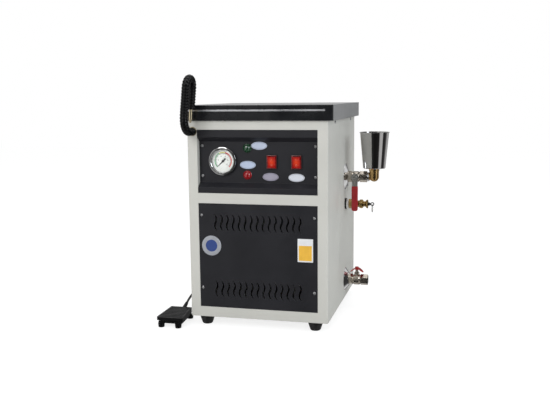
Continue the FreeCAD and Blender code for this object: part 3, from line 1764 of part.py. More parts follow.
def coil_station(turn):
    # The coil winds clockwise inward, climbs one layer where it reverses, and winds outward again.
    middle = coil_turns / 2
    inner = coil_outer_radius - spacing * middle
    radius = inner + spacing * abs(turn - middle)
    rate = 0 if is_at(turn, middle) else math.copysign(spacing, turn - middle)
    share = min(max((turn - middle) / coil_climb_turns + 0.5, 0), 1)
    level = cord_radius + spacing * share * share * (3 - 2 * share)
    climb = spacing * 6 * share * (1 - share) / coil_climb_turns
    angle = math.pi - 2 * math.pi * turn
    outward = V(math.cos(angle), math.sin(angle), 0)
    along = V(math.sin(angle), -math.cos(angle), 0)
    place = coil_centre + outward * radius + UP * level
    heading = (along * (2 * math.pi * radius) + outward * rate + UP * climb).normalize()
    return place, heading


def coil_wire():
    # Biarcs of a quarter turn, with a straight lead at both ends.
    count = int(coil_turns * 4)
    stations = [coil_station(k / 4) for k in range(count + 1)]
    stations[0] = (stations[0][0], BACK)
    stations[-1] = (stations[-1][0], BACK)
    edges = [Part.LineSegment(stations[0][0] + FRONT * coil_lead, stations[0][0]).toShape()]
    for (start, heading), (end, arrival) in zip(stations, stations[1:]):
        edges += biarc(start, heading, end, arrival)
    edges.append(Part.LineSegment(stations[-1][0], stations[-1][0] + BACK * coil_lead).toShape())
    return Part.Wire(edges)


def least_gap(wire):
    # The least distance between points of the centre line that lie far apart along it.
    step = 2.0
    points = wire.discretize(Distance=step)
    away = int(6 * cord_radius / step)
    pairs = [(i, j) for i in range(len(points)) for j in range(i + away, len(points))]
    least = min((points[i] - points[j]).Length for i, j in pairs)
    return least - 2 * cord_radius


def make_cord_coil():
    wire = coil_wire()
    shape = pipe_along(wire, cord_radius)
    expected = math.pi * cord_radius**2 * wire.Length
    print("coil length", round(wire.Length, 1), "least gap", round(least_gap(wire), 3))
    print("coil volume over section times length", round(shape.Volume / expected, 4))
    return shape


parts = {
    "front_frame": make_front_frame,
    "left_side_panel": lambda: make_side_panel(-1),
    "right_side_panel": lambda: make_side_panel(1),
    "back_panel": make_back_panel,
    "base_plate": make_base_plate,
    "top_lid": make_top_lid,
    "lid_front_strip": make_lid_strip,
    "strip_inlay": make_inlay,
    "control_panel": make_control_panel,
    "lower_panel": make_lower_panel,
    "feet": make_feet,
    "panel_screws": make_panel_screws,
    "side_screws": make_side_screws,
    "gauge_case": make_gauge_case,
    "gauge_bezel": make_gauge_bezel,
    "gauge_dial": make_gauge_dial,
    "gauge_needle": make_gauge_needle,
    "gauge_glass": make_gauge_glass,
    "green_lamp": lambda: make_lamp(green_lamp_z),
    "red_lamp": lambda: make_lamp(red_lamp_z),
    "switch_housings": make_switch_housings,
    "left_rocker": lambda: make_rocker(switch_places[0]),
    "right_rocker": lambda: make_rocker(switch_places[1]),
    "hose_gland": make_hose_gland,
    "steam_hose": make_steam_hose,
    "steam_pipe": make_steam_pipe,
    "steam_nozzle": make_steam_nozzle,
    "fill_rosette": lambda: rosette(fill_height, fill_rosette_radius, fill_rosette_thickness),
    "fill_valve_body": lambda: make_valve_body(fill_valve_x, fill_height, FRONT),
    "fill_stem": lambda: make_valve_stem(fill_valve_x, fill_height, FRONT, lever_level() + lever_thickness),
    "fill_lever": make_fill_lever,
    "fill_grip": make_fill_grip,
    "fill_elbow": make_fill_elbow,
    "fill_cup": make_fill_cup,
    "safety_washer": make_safety_washer,
    "safety_valve_body": make_safety_valve_body,
    "safety_stem": make_safety_stem,
    "safety_ring": make_safety_ring,
    "drain_rosette": lambda: rosette(drain_height, drain_rosette_radius, drain_rosette_thickness),
    "drain_valve_body": lambda: make_valve_body(drain_valve_x, drain_height, UP),
    "drain_stem": lambda: make_valve_stem(drain_valve_x, drain_height, UP, wing_level() + wing_thickness),
    "drain_handle": make_drain_handle,
    "boiler": make_boiler,
    "boiler_stand": make_boiler_stand,
    "heater": make_heater,
    "pressure_switch": make_pressure_switch,
    "solenoid_body": make_solenoid_body,
    "solenoid_coil": make_solenoid_coil,
    "fill_pipe": make_fill_pipe,
    "drain_pipe": make_drain_pipe,
    "gauge_pipe": make_gauge_pipe,
    "mains_gland": make_mains_gland,
    "pedal_gland": make_pedal_gland,
    "pedal_base": make_pedal_base,
    "pedal_treadle": make_pedal_treadle,
    "pedal_spring": make_pedal_spring,
    "pedal_boot": make_pedal_boot,
    "pedal_cord_run": lambda: make_cord("cord run", cord_run_route),
    "pedal_cord_coil": make_cord_coil,
    "pedal_cord_tail": lambda: make_cord("cord tail", cord_tail_route),
}

os.makedirs("parts", exist_ok=True)
for name, make in parts.items():
    shape = make()
    shape.exportStep("parts/" + name + ".step")
    print(name, "solids", len(shape.Solids), "valid", shape.isValid(), "volume", round(shape.Volume))
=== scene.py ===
import json
import math

import bmesh
import bpy
from mathutils import Matrix, Vector
from mathutils.bvhtree import BVHTree


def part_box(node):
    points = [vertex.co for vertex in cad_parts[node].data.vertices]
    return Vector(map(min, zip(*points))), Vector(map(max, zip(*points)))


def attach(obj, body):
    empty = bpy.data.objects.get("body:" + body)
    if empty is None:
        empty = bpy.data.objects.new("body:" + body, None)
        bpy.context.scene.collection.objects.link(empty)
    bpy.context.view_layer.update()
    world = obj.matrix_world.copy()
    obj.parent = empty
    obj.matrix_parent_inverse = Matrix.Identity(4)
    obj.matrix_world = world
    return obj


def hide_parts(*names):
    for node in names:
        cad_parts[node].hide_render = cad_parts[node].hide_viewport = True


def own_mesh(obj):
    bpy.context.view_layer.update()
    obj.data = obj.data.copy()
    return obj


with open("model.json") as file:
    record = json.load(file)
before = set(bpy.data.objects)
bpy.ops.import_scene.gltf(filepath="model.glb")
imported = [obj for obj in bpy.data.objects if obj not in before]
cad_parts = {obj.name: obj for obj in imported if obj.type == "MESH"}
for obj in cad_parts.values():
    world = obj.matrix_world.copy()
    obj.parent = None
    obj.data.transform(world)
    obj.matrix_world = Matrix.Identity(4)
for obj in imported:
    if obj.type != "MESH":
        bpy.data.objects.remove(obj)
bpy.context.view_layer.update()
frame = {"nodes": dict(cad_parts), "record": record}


# Camera
# It stands about two metres off, a little to the right of the front and slightly above the lid, as
# in the photograph.
camera_place = Vector((0.495, -1.978, 0.5748))
camera_turn = math.radians(14.27)
camera_pitch = math.radians(8.34)
camera_roll = math.radians(-0.54)
camera_lens = 50.05

ahead = Vector((
    -math.sin(camera_turn) * math.cos(camera_pitch),
    math.cos(camera_turn) * math.cos(camera_pitch),
    -math.sin(camera_pitch),
))
level_right = Vector((math.cos(camera_turn), math.sin(camera_turn), 0))
level_up = level_right.cross(ahead)
camera_right = level_right * math.cos(camera_roll) + level_up * math.sin(camera_roll)
camera_up = level_up * math.cos(camera_roll) - level_right * math.sin(camera_roll)

camera_data = bpy.data.cameras.new("camera")
camera_data.lens = camera_lens
camera = bpy.data.objects.new("camera", camera_data)
camera.matrix_world = Matrix((
    (camera_right.x, camera_up.x, -ahead.x, camera_place.x),
    (camera_right.y, camera_up.y, -ahead.y, camera_place.y),
    (camera_right.z, camera_up.z, -ahead.z, camera_place.z),
    (0, 0, 0, 1),
))
bpy.context.scene.collection.objects.link(camera)
bpy.context.scene.camera = camera
bpy.context.scene.view_settings.view_transform = "Standard"


# Pedal cord
# A thin round cord in black rubber. It rises out of the boot on the pedal, runs back along the left
# wall, lies in five turns of spare length, and rises into the gland low on the wall's rear edge.
MM = 0.001
CORD_RADIUS = 3.0
COIL_CENTRE = (-222.0, 110.0)
COIL_TURNS = 5
COIL_STEPS = 24
COIL_INNER = 23.9
COIL_SPACING = 6.6
CLIMB_START = 2.25
CLIMB_TURNS = 0.5

cord_run = [
    (-212.6, -143.4, 36), (-210, -133, 45), (-205, -107, 56), (-200, -75, 53), (-197, -46, 37),
    (-197, -20, 18), (-201, 5, 6), (-212, 30, 3), (-232, 52, 3), (-253, 66, 3), (-262.4, 88, 3),
    (-262.4, 104, 3),
]
cord_coil = []
for step in range(1, COIL_TURNS * COIL_STEPS):
    turn = step / COIL_STEPS
    radius = COIL_INNER + COIL_SPACING * abs(turn - COIL_TURNS / 2)
    angle = math.pi - 2 * math.pi * turn
    share = min(max((turn - CLIMB_START) / CLIMB_TURNS, 0), 1)
    height = CORD_RADIUS + COIL_SPACING * share * share * (3 - 2 * share)
    cord_coil.append((
        COIL_CENTRE[0] + radius * math.cos(angle), COIL_CENTRE[1] + radius * math.sin(angle), height,
    ))
cord_tail = [
    (-262.4, 116, 9.6), (-262.4, 131, 9.6), (-259.8, 149, 8.2), (-254.5, 166.5, 11.5),
    (-249, 180, 23.5), (-245, 187, 44), (-240.5, 189, 68), (-228, 189, 87), (-209, 189, 96),
    (-191, 189, 96),
]
cord_points = cord_run + cord_coil + cord_tail


def link(piece, body):
    bpy.context.scene.collection.objects.link(piece)
    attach(piece, body)
    return piece


cord_data = bpy.data.curves.new("pedal_cord", "CURVE")
cord_data.dimensions = "3D"
cord_line = cord_data.splines.new("NURBS")
cord_line.points.add(len(cord_points) - 1)
# The bevel is one unit deep, so the radius of each point is the cord's own, in metres.
for point, place in zip(cord_line.points, cord_points):
    point.co = (*(Vector(place) * MM), 1)
    point.radius = CORD_RADIUS * MM
cord_line.order_u = 3
cord_line.use_endpoint_u = True
cord_line.resolution_u = 8
cord_data.bevel_depth = 1.0
cord_data.bevel_resolution = 5
cord_data.use_fill_caps = True
pedal_cord = link(bpy.data.objects.new("pedal_cord", cord_data), "cabinet")
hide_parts("pedal_cord_run", "pedal_cord_coil", "pedal_cord_tail")


def noise(tree, place, scale, detail=3.0, roughness=0.55):
    node = tree.nodes.new("ShaderNodeTexNoise")
    node.inputs["Scale"].default_value = scale
    node.inputs["Detail"].default_value = detail
    node.inputs["Roughness"].default_value = roughness
    tree.links.new(place, node.inputs["Vector"])
    return node.outputs["Fac"]


def reach(tree, value, low, high, to_low, to_high):
    """The value, stretched from the range low to high onto the range to_low to to_high."""
    node = tree.nodes.new("ShaderNodeMapRange")
    node.inputs["From Min"].default_value = low
    node.inputs["From Max"].default_value = high
    node.inputs["To Min"].default_value = to_low
    node.inputs["To Max"].default_value = to_high
    tree.links.new(value, node.inputs["Value"])
    return node.outputs["Result"]


def blend_colour(tree, share, first, second):
    node = tree.nodes.new("ShaderNodeMix")
    node.data_type = "RGBA"
    for socket, value in (("Factor", share), ("A", first), ("B", second)):
        inlet = next(i for i in node.inputs if i.name == socket and i.enabled)
        if isinstance(value, (int, float)):
            inlet.default_value = value
        elif isinstance(value, tuple):
            inlet.default_value = (*value, 1)
        else:
            tree.links.new(value, inlet)
    return next(o for o in node.outputs if o.enabled)


def vector_math(tree, operation, first, second=None):
    node = tree.nodes.new("ShaderNodeVectorMath")
    node.operation = operation
    tree.links.new(first, node.inputs[0])
    if isinstance(second, tuple):
        node.inputs[1].default_value = second
    elif second is not None:
        tree.links.new(second, node.inputs[1])
    return node


# The middle part of a noise, over which a colour or a roughness changes.
NOISE_LOW = 0.3
NOISE_HIGH = 0.7
# The peaks of a noise, which show as specks.
SPECK_LOW = 0.66
SPECK_HIGH = 0.72
# The cosine between the flat and the rounded normal, where an edge starts to wear and is worn.
WEAR_START = 0.985
WEAR_FULL = 0.9


def finish(
    name, colour, roughness, metallic=0.0, grain=900.0, depth=0.02, mottle=0.06, mottle_scale=22.0,
    stretch=(1, 1, 1), edge=0.5, worn=None, worn_share=0.0, coat=0.0, coat_roughness=0.1,
    spread=0.08, sheen=0.0, speck=0.0, shine=0.5,
):
    """A finish of fine grain, a slow change of colour and roughness, and slightly worn edges."""
    made = bpy.data.materials.new(name)
    made.use_nodes = True
    tree = made.node_tree
    shader = tree.nodes["Principled BSDF"]
    shader.inputs["Metallic"].default_value = metallic
    shader.inputs["Coat Weight"].default_value = coat
    shader.inputs["Coat Roughness"].default_value = coat_roughness
    shader.inputs["Sheen Weight"].default_value = sheen
    shader.inputs["Specular IOR Level"].default_value = shine
    where = tree.nodes.new("ShaderNodeTexCoord")
    mapping = tree.nodes.new("ShaderNodeMapping")
    mapping.inputs["Scale"].default_value = stretch
    tree.links.new(where.outputs["Object"], mapping.inputs["Vector"])
    slow = noise(tree, where.outputs["Object"], mottle_scale, 4.0)
    fine = noise(tree, mapping.outputs[0], grain, 3.0, 0.6)
    dark = tuple(c * (1 - mottle) for c in colour)
    light = tuple(min(c * (1 + mottle), 1) for c in colour)
    shade = blend_colour(tree, reach(tree, slow, NOISE_LOW, NOISE_HIGH, 0, 1), dark, light)
    if speck:
        spots = noise(tree, where.outputs["Object"], grain * 0.4, 2.0)
        shade = blend_colour(tree, reach(tree, spots, SPECK_LOW, SPECK_HIGH, 0, speck), shade, light)
    round_edge = tree.nodes.new("ShaderNodeBevel")
    round_edge.samples = 4
    round_edge.inputs["Radius"].default_value = edge * MM
    if worn:
        flat = tree.nodes.new("ShaderNodeNewGeometry")
        compare = vector_math(tree, "DOT_PRODUCT", round_edge.outputs[0], flat.outputs["Normal"])
        on_edge = reach(tree, compare.outputs["Value"], WEAR_START, WEAR_FULL, 0, worn_share)
        shade = blend_colour(tree, on_edge, shade, worn)
    tree.links.new(shade, shader.inputs["Base Color"])
    smoothest = max(roughness - spread, 0.02)
    roughest = min(roughness + spread, 1)
    tree.links.new(
        reach(tree, slow, NOISE_LOW, NOISE_HIGH, smoothest, roughest), shader.inputs["Roughness"],
    )
    bump = tree.nodes.new("ShaderNodeBump")
    bump.inputs["Strength"].default_value = 1.0
    bump.inputs["Distance"].default_value = depth * MM
    tree.links.new(fine, bump.inputs["Height"])
    tree.links.new(round_edge.outputs[0], bump.inputs["Normal"])
    tree.links.new(bump.outputs[0], shader.inputs["Normal"])
    return made


def give_to_slot(slot_name, made):
    """Put a finish on each CAD piece that the record gives this material slot."""
    for part in frame["record"]["subparts"]:
        if part["material_slot"] == slot_name:
            node = frame["nodes"][part["node"]]
            for k in range(len(node.data.materials)):
                node.material_slots[k].material = made


def dress(slot_name, colour, roughness, **details):
    """Mix the finish that is named for a material slot and put it on the slot's CAD pieces."""
    made = finish(slot_name, colour, roughness, **details)
    give_to_slot(slot_name, made)
    return made


def coat_with(piece, made):
    piece.data.materials.clear()
    piece.data.materials.append(made)


cord_rubber = dress(
    "cord_rubber", (0.008, 0.008, 0.008), 0.45, grain=1300, depth=0.008, mottle=0.2, edge=0.2,
    mottle_scale=40, sheen=0.05,
)
coat_with(pedal_cord, cord_rubber)


# Floor and lights
# A plain pale floor in a white room, under three soft lamps. Shiny surfaces don't mirror that room but
# a studio of white screens with dark gaps between them.
FLOOR_HALF = 6
FLOOR_GREY = 0.82
FLOOR_ROUGHNESS = 0.9
FLOOR_GLOW = 1.35
FLOOR_GLOW_SHARE = 0.6
ROOM_LIGHT = 0.55
WALL_LIGHT = 1.0
SCREEN_LIGHT = 0.8
SCREEN_TOP_LOW = 0.3
SCREEN_TOP_HIGH = 0.75
SCREEN_TOP_SHARE = 0.85
# Each pair is a share of the turn around the object and how bright the studio is there.
studio_bands = [
    (0.0, 0.03), (0.045, 0.05), (0.075, 0.95), (0.15, 1.0), (0.185, 0.03), (0.3, 0.04), (0.36, 0.85),
    (0.46, 0.9), (0.52, 0.1), (0.6, 0.9), (0.7, 0.06), (0.765, 0.04), (0.79, 1.0), (0.845, 0.95),
    (0.875, 0.03), (0.96, 0.02),
]


def mix_shaders(tree, share, first, second):
    node = tree.nodes.new("ShaderNodeMixShader")
    for inlet, source in zip(node.inputs, (share, first, second)):
        tree.links.new(source, inlet)
    return node.outputs[0]


def combine(tree, operation, first, second):
    node = tree.nodes.new("ShaderNodeMath")
    node.operation = operation
    tree.links.new(first, node.inputs[0])
    tree.links.new(second, node.inputs[1])
    return node.outputs[0]


floor_mesh = bpy.data.meshes.new("floor")
floor_mesh.from_pydata(
    [(-FLOOR_HALF, -FLOOR_HALF, 0), (FLOOR_HALF, -FLOOR_HALF, 0), (FLOOR_HALF, FLOOR_HALF, 0),
     (-FLOOR_HALF, FLOOR_HALF, 0)],
    [], [(0, 1, 2, 3)],
)
floor = bpy.data.objects.new("floor", floor_mesh)
bpy.context.scene.collection.objects.link(floor)
floor_finish = bpy.data.materials.new("studio_floor")
floor_finish.use_nodes = True
tree = floor_finish.node_tree
floor_shader = tree.nodes["Principled BSDF"]
floor_shader.inputs["Base Color"].default_value = (FLOOR_GREY, FLOOR_GREY, FLOOR_GREY, 1)
floor_shader.inputs["Roughness"].default_value = FLOOR_ROUGHNESS
floor_glow = tree.nodes.new("ShaderNodeEmission")
floor_glow.inputs["Strength"].default_value = FLOOR_GLOW
rays = tree.nodes.new("ShaderNodeLightPath")
seen = reach(tree, rays.outputs["Is Camera Ray"], 0, 1, 0, FLOOR_GLOW_SHARE)
lit_floor = mix_shaders(tree, seen, floor_shader.outputs[0], floor_glow.outputs[0])
# Shiny surfaces look past the floor to the studio, so its bands run down unbroken.
floor_open = tree.nodes.new("ShaderNodeBsdfTransparent")
tree.links.new(
    mix_shaders(tree, rays.outputs["Is Glossy Ray"], lit_floor, floor_open.outputs[0]),
    tree.nodes["Material Output"].inputs["Surface"],
)
floor_mesh.materials.append(floor_finish)

world = bpy.data.worlds.new("studio")
world.use_nodes = True
bpy.context.scene.world = world
tree = world.node_tree
soft_light = tree.nodes["Background"]
soft_light.inputs["Color"].default_value = (1, 1, 1, 1)
soft_light.inputs["Strength"].default_value = ROOM_LIGHT
white_wall = tree.nodes.new("ShaderNodeBackground")
white_wall.inputs["Color"].default_value = (1, 1, 1, 1)
white_wall.inputs["Strength"].default_value = WALL_LIGHT
studio = tree.nodes.new("ShaderNodeBackground")
studio.inputs["Strength"].default_value = SCREEN_LIGHT
where = tree.nodes.new("ShaderNodeTexCoord")
split = tree.nodes.new("ShaderNodeSeparateXYZ")
tree.links.new(where.outputs["Generated"], split.inputs[0])
around = combine(tree, "ARCTAN2", split.outputs["X"], split.outputs["Y"])
bands = tree.nodes.new("ShaderNodeValToRGB")
bands.color_ramp.interpolation = "EASE"
for stop, (position, level) in zip(bands.color_ramp.elements, studio_bands):
    stop.position = position
    stop.color = (level, level, level, 1)
for position, level in studio_bands[len(bands.color_ramp.elements):]:
    bands.color_ramp.elements.new(position).color = (level, level, level, 1)
tree.links.new(reach(tree, around, -math.pi, math.pi, 0, 1), bands.inputs[0])
sky = reach(tree, split.outputs["Z"], SCREEN_TOP_LOW, SCREEN_TOP_HIGH, 0, SCREEN_TOP_SHARE)
tree.links.new(blend_colour(tree, sky, bands.outputs[0], (1.0, 1.0, 1.0)), studio.inputs["Color"])
rays = tree.nodes.new("ShaderNodeLightPath")
straight_through = combine(
    tree, "MAXIMUM", rays.outputs["Is Camera Ray"], rays.outputs["Is Transmission Ray"],
)
mirrored = mix_shaders(tree, rays.outputs["Is Glossy Ray"], soft_light.outputs[0], studio.outputs[0])
tree.links.new(
    mix_shaders(tree, straight_through, mirrored, white_wall.outputs[0]),
    tree.nodes["World Output"].inputs["Surface"],
)


def soft_lamp(name, place, aim, size, power, tint=(1, 1, 1)):
    lamp = bpy.data.lights.new(name, "AREA")
    lamp.shape = "DISK"
    lamp.size = size
    lamp.energy = power
    lamp.color = tint
    holder = bpy.data.objects.new(name, lamp)
    holder.location = place
    holder.rotation_mode = "QUATERNION"
    holder.rotation_quaternion = (Vector(aim) - Vector(place)).to_track_quat("-Z", "Y")
    bpy.context.scene.collection.objects.link(holder)


# Each lamp's place, the spot that it faces, its width in metres, its power in watts and its tint.
soft_lamp("front_lamp", (-0.9, -2.6, 1.7), (0, 0, 0.3), 1.4, 26)
soft_lamp("right_lamp", (2.4, -1.0, 1.3), (0.1, 0, 0.3), 1.2, 19, (0.86, 0.93, 1.0))
soft_lamp("top_lamp", (0.2, 0.3, 2.8), (0, 0, 0.4), 1.4, 16)


# Cabinet
# Folded sheet steel in pale enamel, screwed together: front frame, sides, back and base plate under a
# darker lid. The lid has a black plastic strip, dark panels close the front, and the feet are rubber.
dress(
    "cabinet_paint", (0.62, 0.615, 0.57), 0.42, grain=620, depth=0.03, mottle=0.025,
    mottle_scale=9, edge=1.2, worn=(0.75, 0.745, 0.71), worn_share=0.5, speck=0.25,
)
dress(
    "lid_paint", (0.26, 0.26, 0.262), 0.36, grain=620, depth=0.03, mottle=0.03, mottle_scale=9,
    edge=1.0, worn=(0.6, 0.6, 0.59), worn_share=0.5, speck=0.25,
)
dress(
    "strip_plastic", (0.008, 0.0085, 0.01), 0.26, grain=1500, depth=0.004, mottle=0.05, edge=1.5,
    worn=(0.05, 0.05, 0.055), worn_share=0.4, coat=0.15, coat_roughness=0.12, shine=0.4,
)
dress(
    "inlay_metal", (0.6, 0.6, 0.62), 0.35, metallic=1.0, grain=900, stretch=(0.02, 1, 1),
    depth=0.01, mottle=0.1, edge=0.3,
)
dress(
    "dark_paint", (0.0145, 0.0145, 0.0185), 0.46, grain=1100, depth=0.03, mottle=0.12,
    mottle_scale=14, edge=0.8, worn=(0.07, 0.072, 0.08), worn_share=0.6, speck=0.3, shine=0.35,
)
dress(
    "foot_rubber", (0.004, 0.004, 0.004), 0.55, grain=700, depth=0.03, mottle=0.2, edge=1.2,
    worn=(0.06, 0.058, 0.055), worn_share=0.5, sheen=0.1,
)
dress(
    "screw_steel", (0.55, 0.55, 0.56), 0.32, metallic=1.0, grain=2600, depth=0.006, mottle=0.12,
    mottle_scale=200, edge=0.25, worn=(0.8, 0.8, 0.8), worn_share=0.6,
)


# Boiler and pipework
# The welded steel boiler with its stand and heater, and the copper pipes that join it to the hose,
# the gauge and the valves. All of it stands inside the cabinet.
dress(
    "boiler_steel", (0.5, 0.5, 0.5), 0.36, metallic=1.0, grain=1200, stretch=(0.1, 0.1, 1),
    depth=0.006, mottle=0.1, edge=0.5,
)
dress(
    "pipe_copper", (0.62, 0.3, 0.17), 0.35, metallic=1.0, grain=1200, depth=0.006, mottle=0.25,
    mottle_scale=40, edge=0.3,
)


# Steam hose
# Black corrugated plastic hose over the bent steam pipe, with 39 rounded ribs. It comes out of a brass
# gland in the left post, rises, turns over and comes down to the brass nozzle.
def middle_of(node_name):
    low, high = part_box(node_name)
    return (Vector(low) + Vector(high)) / 2 / MM


HOSE_X = middle_of("hose_gland").x
HOSE_Z = middle_of("hose_gland").z
HOSE_START_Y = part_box("steam_hose")[1][1] / MM
HOSE_STRAIGHT = 20.0
HOSE_LOW_BEND = 44.0
HOSE_ARCH_BEND = 22.5
HOSE_ARCH_Z = 591.5
HOSE_END_Z = 541.0
HOSE_LEAN = math.radians(5.5)
HOSE_RIBS = 39
HOSE_CREST = 10.0
HOSE_GROOVE = 8.3
HOSE_BORE = 7.1
RIB_STEPS = 10
RIB_FULLNESS = 0.55

hose_plastic = dress(
    "hose_plastic", (0.003, 0.003, 0.0034), 0.22, grain=1300, depth=0.006, mottle=0.2, edge=0.3,
    mottle_scale=60, shine=0.2, spread=0.05,
)
dress(
    "gland_brass", (0.42, 0.33, 0.18), 0.3, metallic=1.0, grain=1800, depth=0.006, mottle=0.15,
    edge=0.4, worn=(0.8, 0.7, 0.5), worn_share=0.5,
)
dress(
    "nozzle_brass", (0.95, 0.82, 0.58), 0.22, metallic=1.0, grain=1500, depth=0.004,
    stretch=(1, 1, 5), mottle=0.08, edge=0.4, worn=(0.95, 0.85, 0.62), worn_share=0.5,
)

low_centre = Vector((HOSE_X, HOSE_START_Y - HOSE_STRAIGHT, HOSE_Z + HOSE_LOW_BEND))
arch_centre = Vector((HOSE_X, low_centre.y - HOSE_LOW_BEND + HOSE_ARCH_BEND, HOSE_ARCH_Z))
hose_runs = [
    HOSE_STRAIGHT, HOSE_LOW_BEND * math.pi / 2, HOSE_ARCH_Z - low_centre.z,
    HOSE_ARCH_BEND * math.pi, HOSE_ARCH_Z - HOSE_END_Z,
]


def hose_station(s):
    """The place and the heading at a distance along the hose, before it leans."""
    if s <= hose_runs[0]:
        return Vector((HOSE_X, HOSE_START_Y - s, HOSE_Z)), Vector((0, -1, 0))
    s -= hose_runs[0]
    if s <= hose_runs[1]:
        a = s / HOSE_LOW_BEND
        place = low_centre + Vector((0, -math.sin(a), -math.cos(a))) * HOSE_LOW_BEND
        return place, Vector((0, -math.cos(a), math.sin(a)))
    s -= hose_runs[1]
    if s <= hose_runs[2]:
        return Vector((HOSE_X, low_centre.y - HOSE_LOW_BEND, low_centre.z + s)), Vector((0, 0, 1))
    s -= hose_runs[2]
    if s <= hose_runs[3]:
        a = s / HOSE_ARCH_BEND
        place = arch_centre + Vector((0, -math.cos(a), math.sin(a))) * HOSE_ARCH_BEND
        return place, Vector((0, math.sin(a), math.cos(a)))
    s -= hose_runs[3]
    return Vector((HOSE_X, arch_centre.y + HOSE_ARCH_BEND, HOSE_ARCH_Z - s)), Vector((0, 0, -1))


def hose_ring(s, radius, count=40):
    place, heading = hose_station(s)
    across = Vector((1, 0, 0))
    up = heading.cross(across)
    turns = [2 * math.pi * k / count for k in range(count)]
    straight = [place + (across * math.cos(a) + up * math.sin(a)) * radius for a in turns]
    hub = Vector((HOSE_X, 0, HOSE_Z))
    return [hub + Matrix.Rotation(HOSE_LEAN, 3, "Y") @ (point - hub) for point in straight]


WELD_DISTANCE = 1e-7


def solid(name, vertices, faces, body, made, smooth=True, angle=35):
    """A mesh piece given in millimetres, smooth but for the edges sharper than the angle."""
    mesh = bpy.data.meshes.new(name)
    mesh.from_pydata([tuple(Vector(v) * MM) for v in vertices], [], faces)
    work = bmesh.new()
    work.from_mesh(mesh)
    bmesh.ops.remove_doubles(work, verts=work.verts, dist=WELD_DISTANCE)
    bmesh.ops.recalc_face_normals(work, faces=work.faces)
    if smooth:
        for face in work.faces:
            face.smooth = True
        for edge in work.edges:
            if len(edge.link_faces) == 2 and edge.calc_face_angle() > math.radians(angle):
                edge.smooth = False
    work.to_mesh(mesh)
    work.free()
    piece = link(bpy.data.objects.new(name, mesh), body)
    coat_with(piece, made)
    return piece


def swept(rings, closed=False):
    """Vertices and faces of a skin over rings of points, with a flat cap at each open end."""
    count = len(rings[0])
    vertices = [point for ring in rings for point in ring]
    faces = []
    spans = len(rings) if closed else len(rings) - 1
    for k in range(spans):
        here, there = k * count, (k + 1) % len(rings) * count
        for i in range(count):
            j = (i + 1) % count
            faces.append((here + i, here + j, there + j, there + i))
    if not closed:
        faces.append(tuple(range(count)))
        faces.append(tuple((len(rings) - 1) * count + i for i in range(count)))
    return vertices, faces


hose_length = sum(hose_runs)
hose_steps = HOSE_RIBS * RIB_STEPS
rings = [hose_ring(0, HOSE_BORE)]
for step in range(hose_steps + 1):
    wave = 0.5 - 0.5 * math.cos(2 * math.pi * step / RIB_STEPS)
    radius = HOSE_GROOVE + (HOSE_CREST - HOSE_GROOVE) * wave ** RIB_FULLNESS
    rings.append(hose_ring(hose_length * step / hose_steps, radius))
rings.append(hose_ring(hose_length, HOSE_BORE))
for step in range(HOSE_RIBS, -1, -1):
    rings.append(hose_ring(hose_length * step / HOSE_RIBS, HOSE_BORE))
vertices, faces = swept(rings, closed=True)
steam_hose = solid("corrugated_hose", vertices, faces, "cabinet", hose_plastic)
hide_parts("steam_hose")


# Pressure gauge
# A round gauge behind clear glass, in a black case with a chromed bezel. Its white dial is printed
# with a green, yellow and red band, ticks and numbers, and a cap holds the black needle.
GAUGE = Vector((-89.0, -193.0, 414.4))
SCALE_SWEEP = 135.0
GREEN_END = -28.0
YELLOW_END = 14.0
BAND_STEP = 4.0
BAND_INNER = 19.6
BAND_OUTER = 22.4
LINE_INNER = 18.6
LINE_OUTER = 19.1
INK_BACK = 0.02
INK_FRONT = 0.12
TICK_SPACES = 50
TICKS_TO_LONG = 5
TICK_OUTER = 18.8
TICK_THICKNESS = 0.1
LONG_TICK = (15.6, 0.9)
SHORT_TICK = (17.2, 0.5)
NUMBER_RADIUS = 12.2
NUMBER_SIZE = 5.0
NUMBER_LIFT = 0.08
NUMBER_SPACES = 5
NUMBER_STEP = 2
CAP_FOOT = 2.0
GLASS_INDEX = 1.45
SMEAR_SCALE = 60
SMEAR_LOW = 0.35
SMEAR_HIGH = 0.75
SMEAR_ROUGHNESS = 0.05
cap_profile = [(0, 0), (0, 3.0), (0.8, 3.0), (1.4, 2.4), (1.7, 1.2), (1.7, 0)]

dress(
    "case_paint", (0.01, 0.01, 0.011), 0.45, grain=1400, depth=0.01, mottle=0.1, edge=0.5,
)
dress(
    "bezel_chrome", (0.5, 0.5, 0.5), 0.1, metallic=1.0, grain=2200, depth=0.002, mottle=0.03,
    edge=0.6, spread=0.04,
)
dress(
    "dial_face", (0.84, 0.84, 0.81), 0.55, grain=1800, depth=0.004, mottle=0.03, edge=0.1,
)
needle_paint = dress(
    "needle_paint", (0.012, 0.012, 0.012), 0.4, grain=2200, depth=0.003, mottle=0.1, edge=0.1,
)

glass = bpy.data.materials.new("gauge_glass")
glass.use_nodes = True
tree = glass.node_tree
glass_shader = tree.nodes["Principled BSDF"]
glass_shader.inputs["Base Color"].default_value = (0.97, 0.985, 0.98, 1)
glass_shader.inputs["Transmission Weight"].default_value = 1.0
glass_shader.inputs["IOR"].default_value = GLASS_INDEX
where = tree.nodes.new("ShaderNodeTexCoord")
smear = noise(tree, where.outputs["Object"], SMEAR_SCALE)
smeared = reach(tree, smear, SMEAR_LOW, SMEAR_HIGH, 0, SMEAR_ROUGHNESS)
tree.links.new(smeared, glass_shader.inputs["Roughness"])
clear = tree.nodes.new("ShaderNodeBsdfTransparent")
rays = tree.nodes.new("ShaderNodeLightPath")
tree.links.new(
    mix_shaders(tree, rays.outputs["Is Shadow Ray"], glass_shader.outputs[0], clear.outputs[0]),
    tree.nodes["Material Output"].inputs["Surface"],
)
give_to_slot("gauge_glass", glass)


def on_dial(angle, radius, lift=0.0):
    a = math.radians(angle)
    return GAUGE + Vector((radius * math.sin(a), -lift, radius * math.cos(a)))


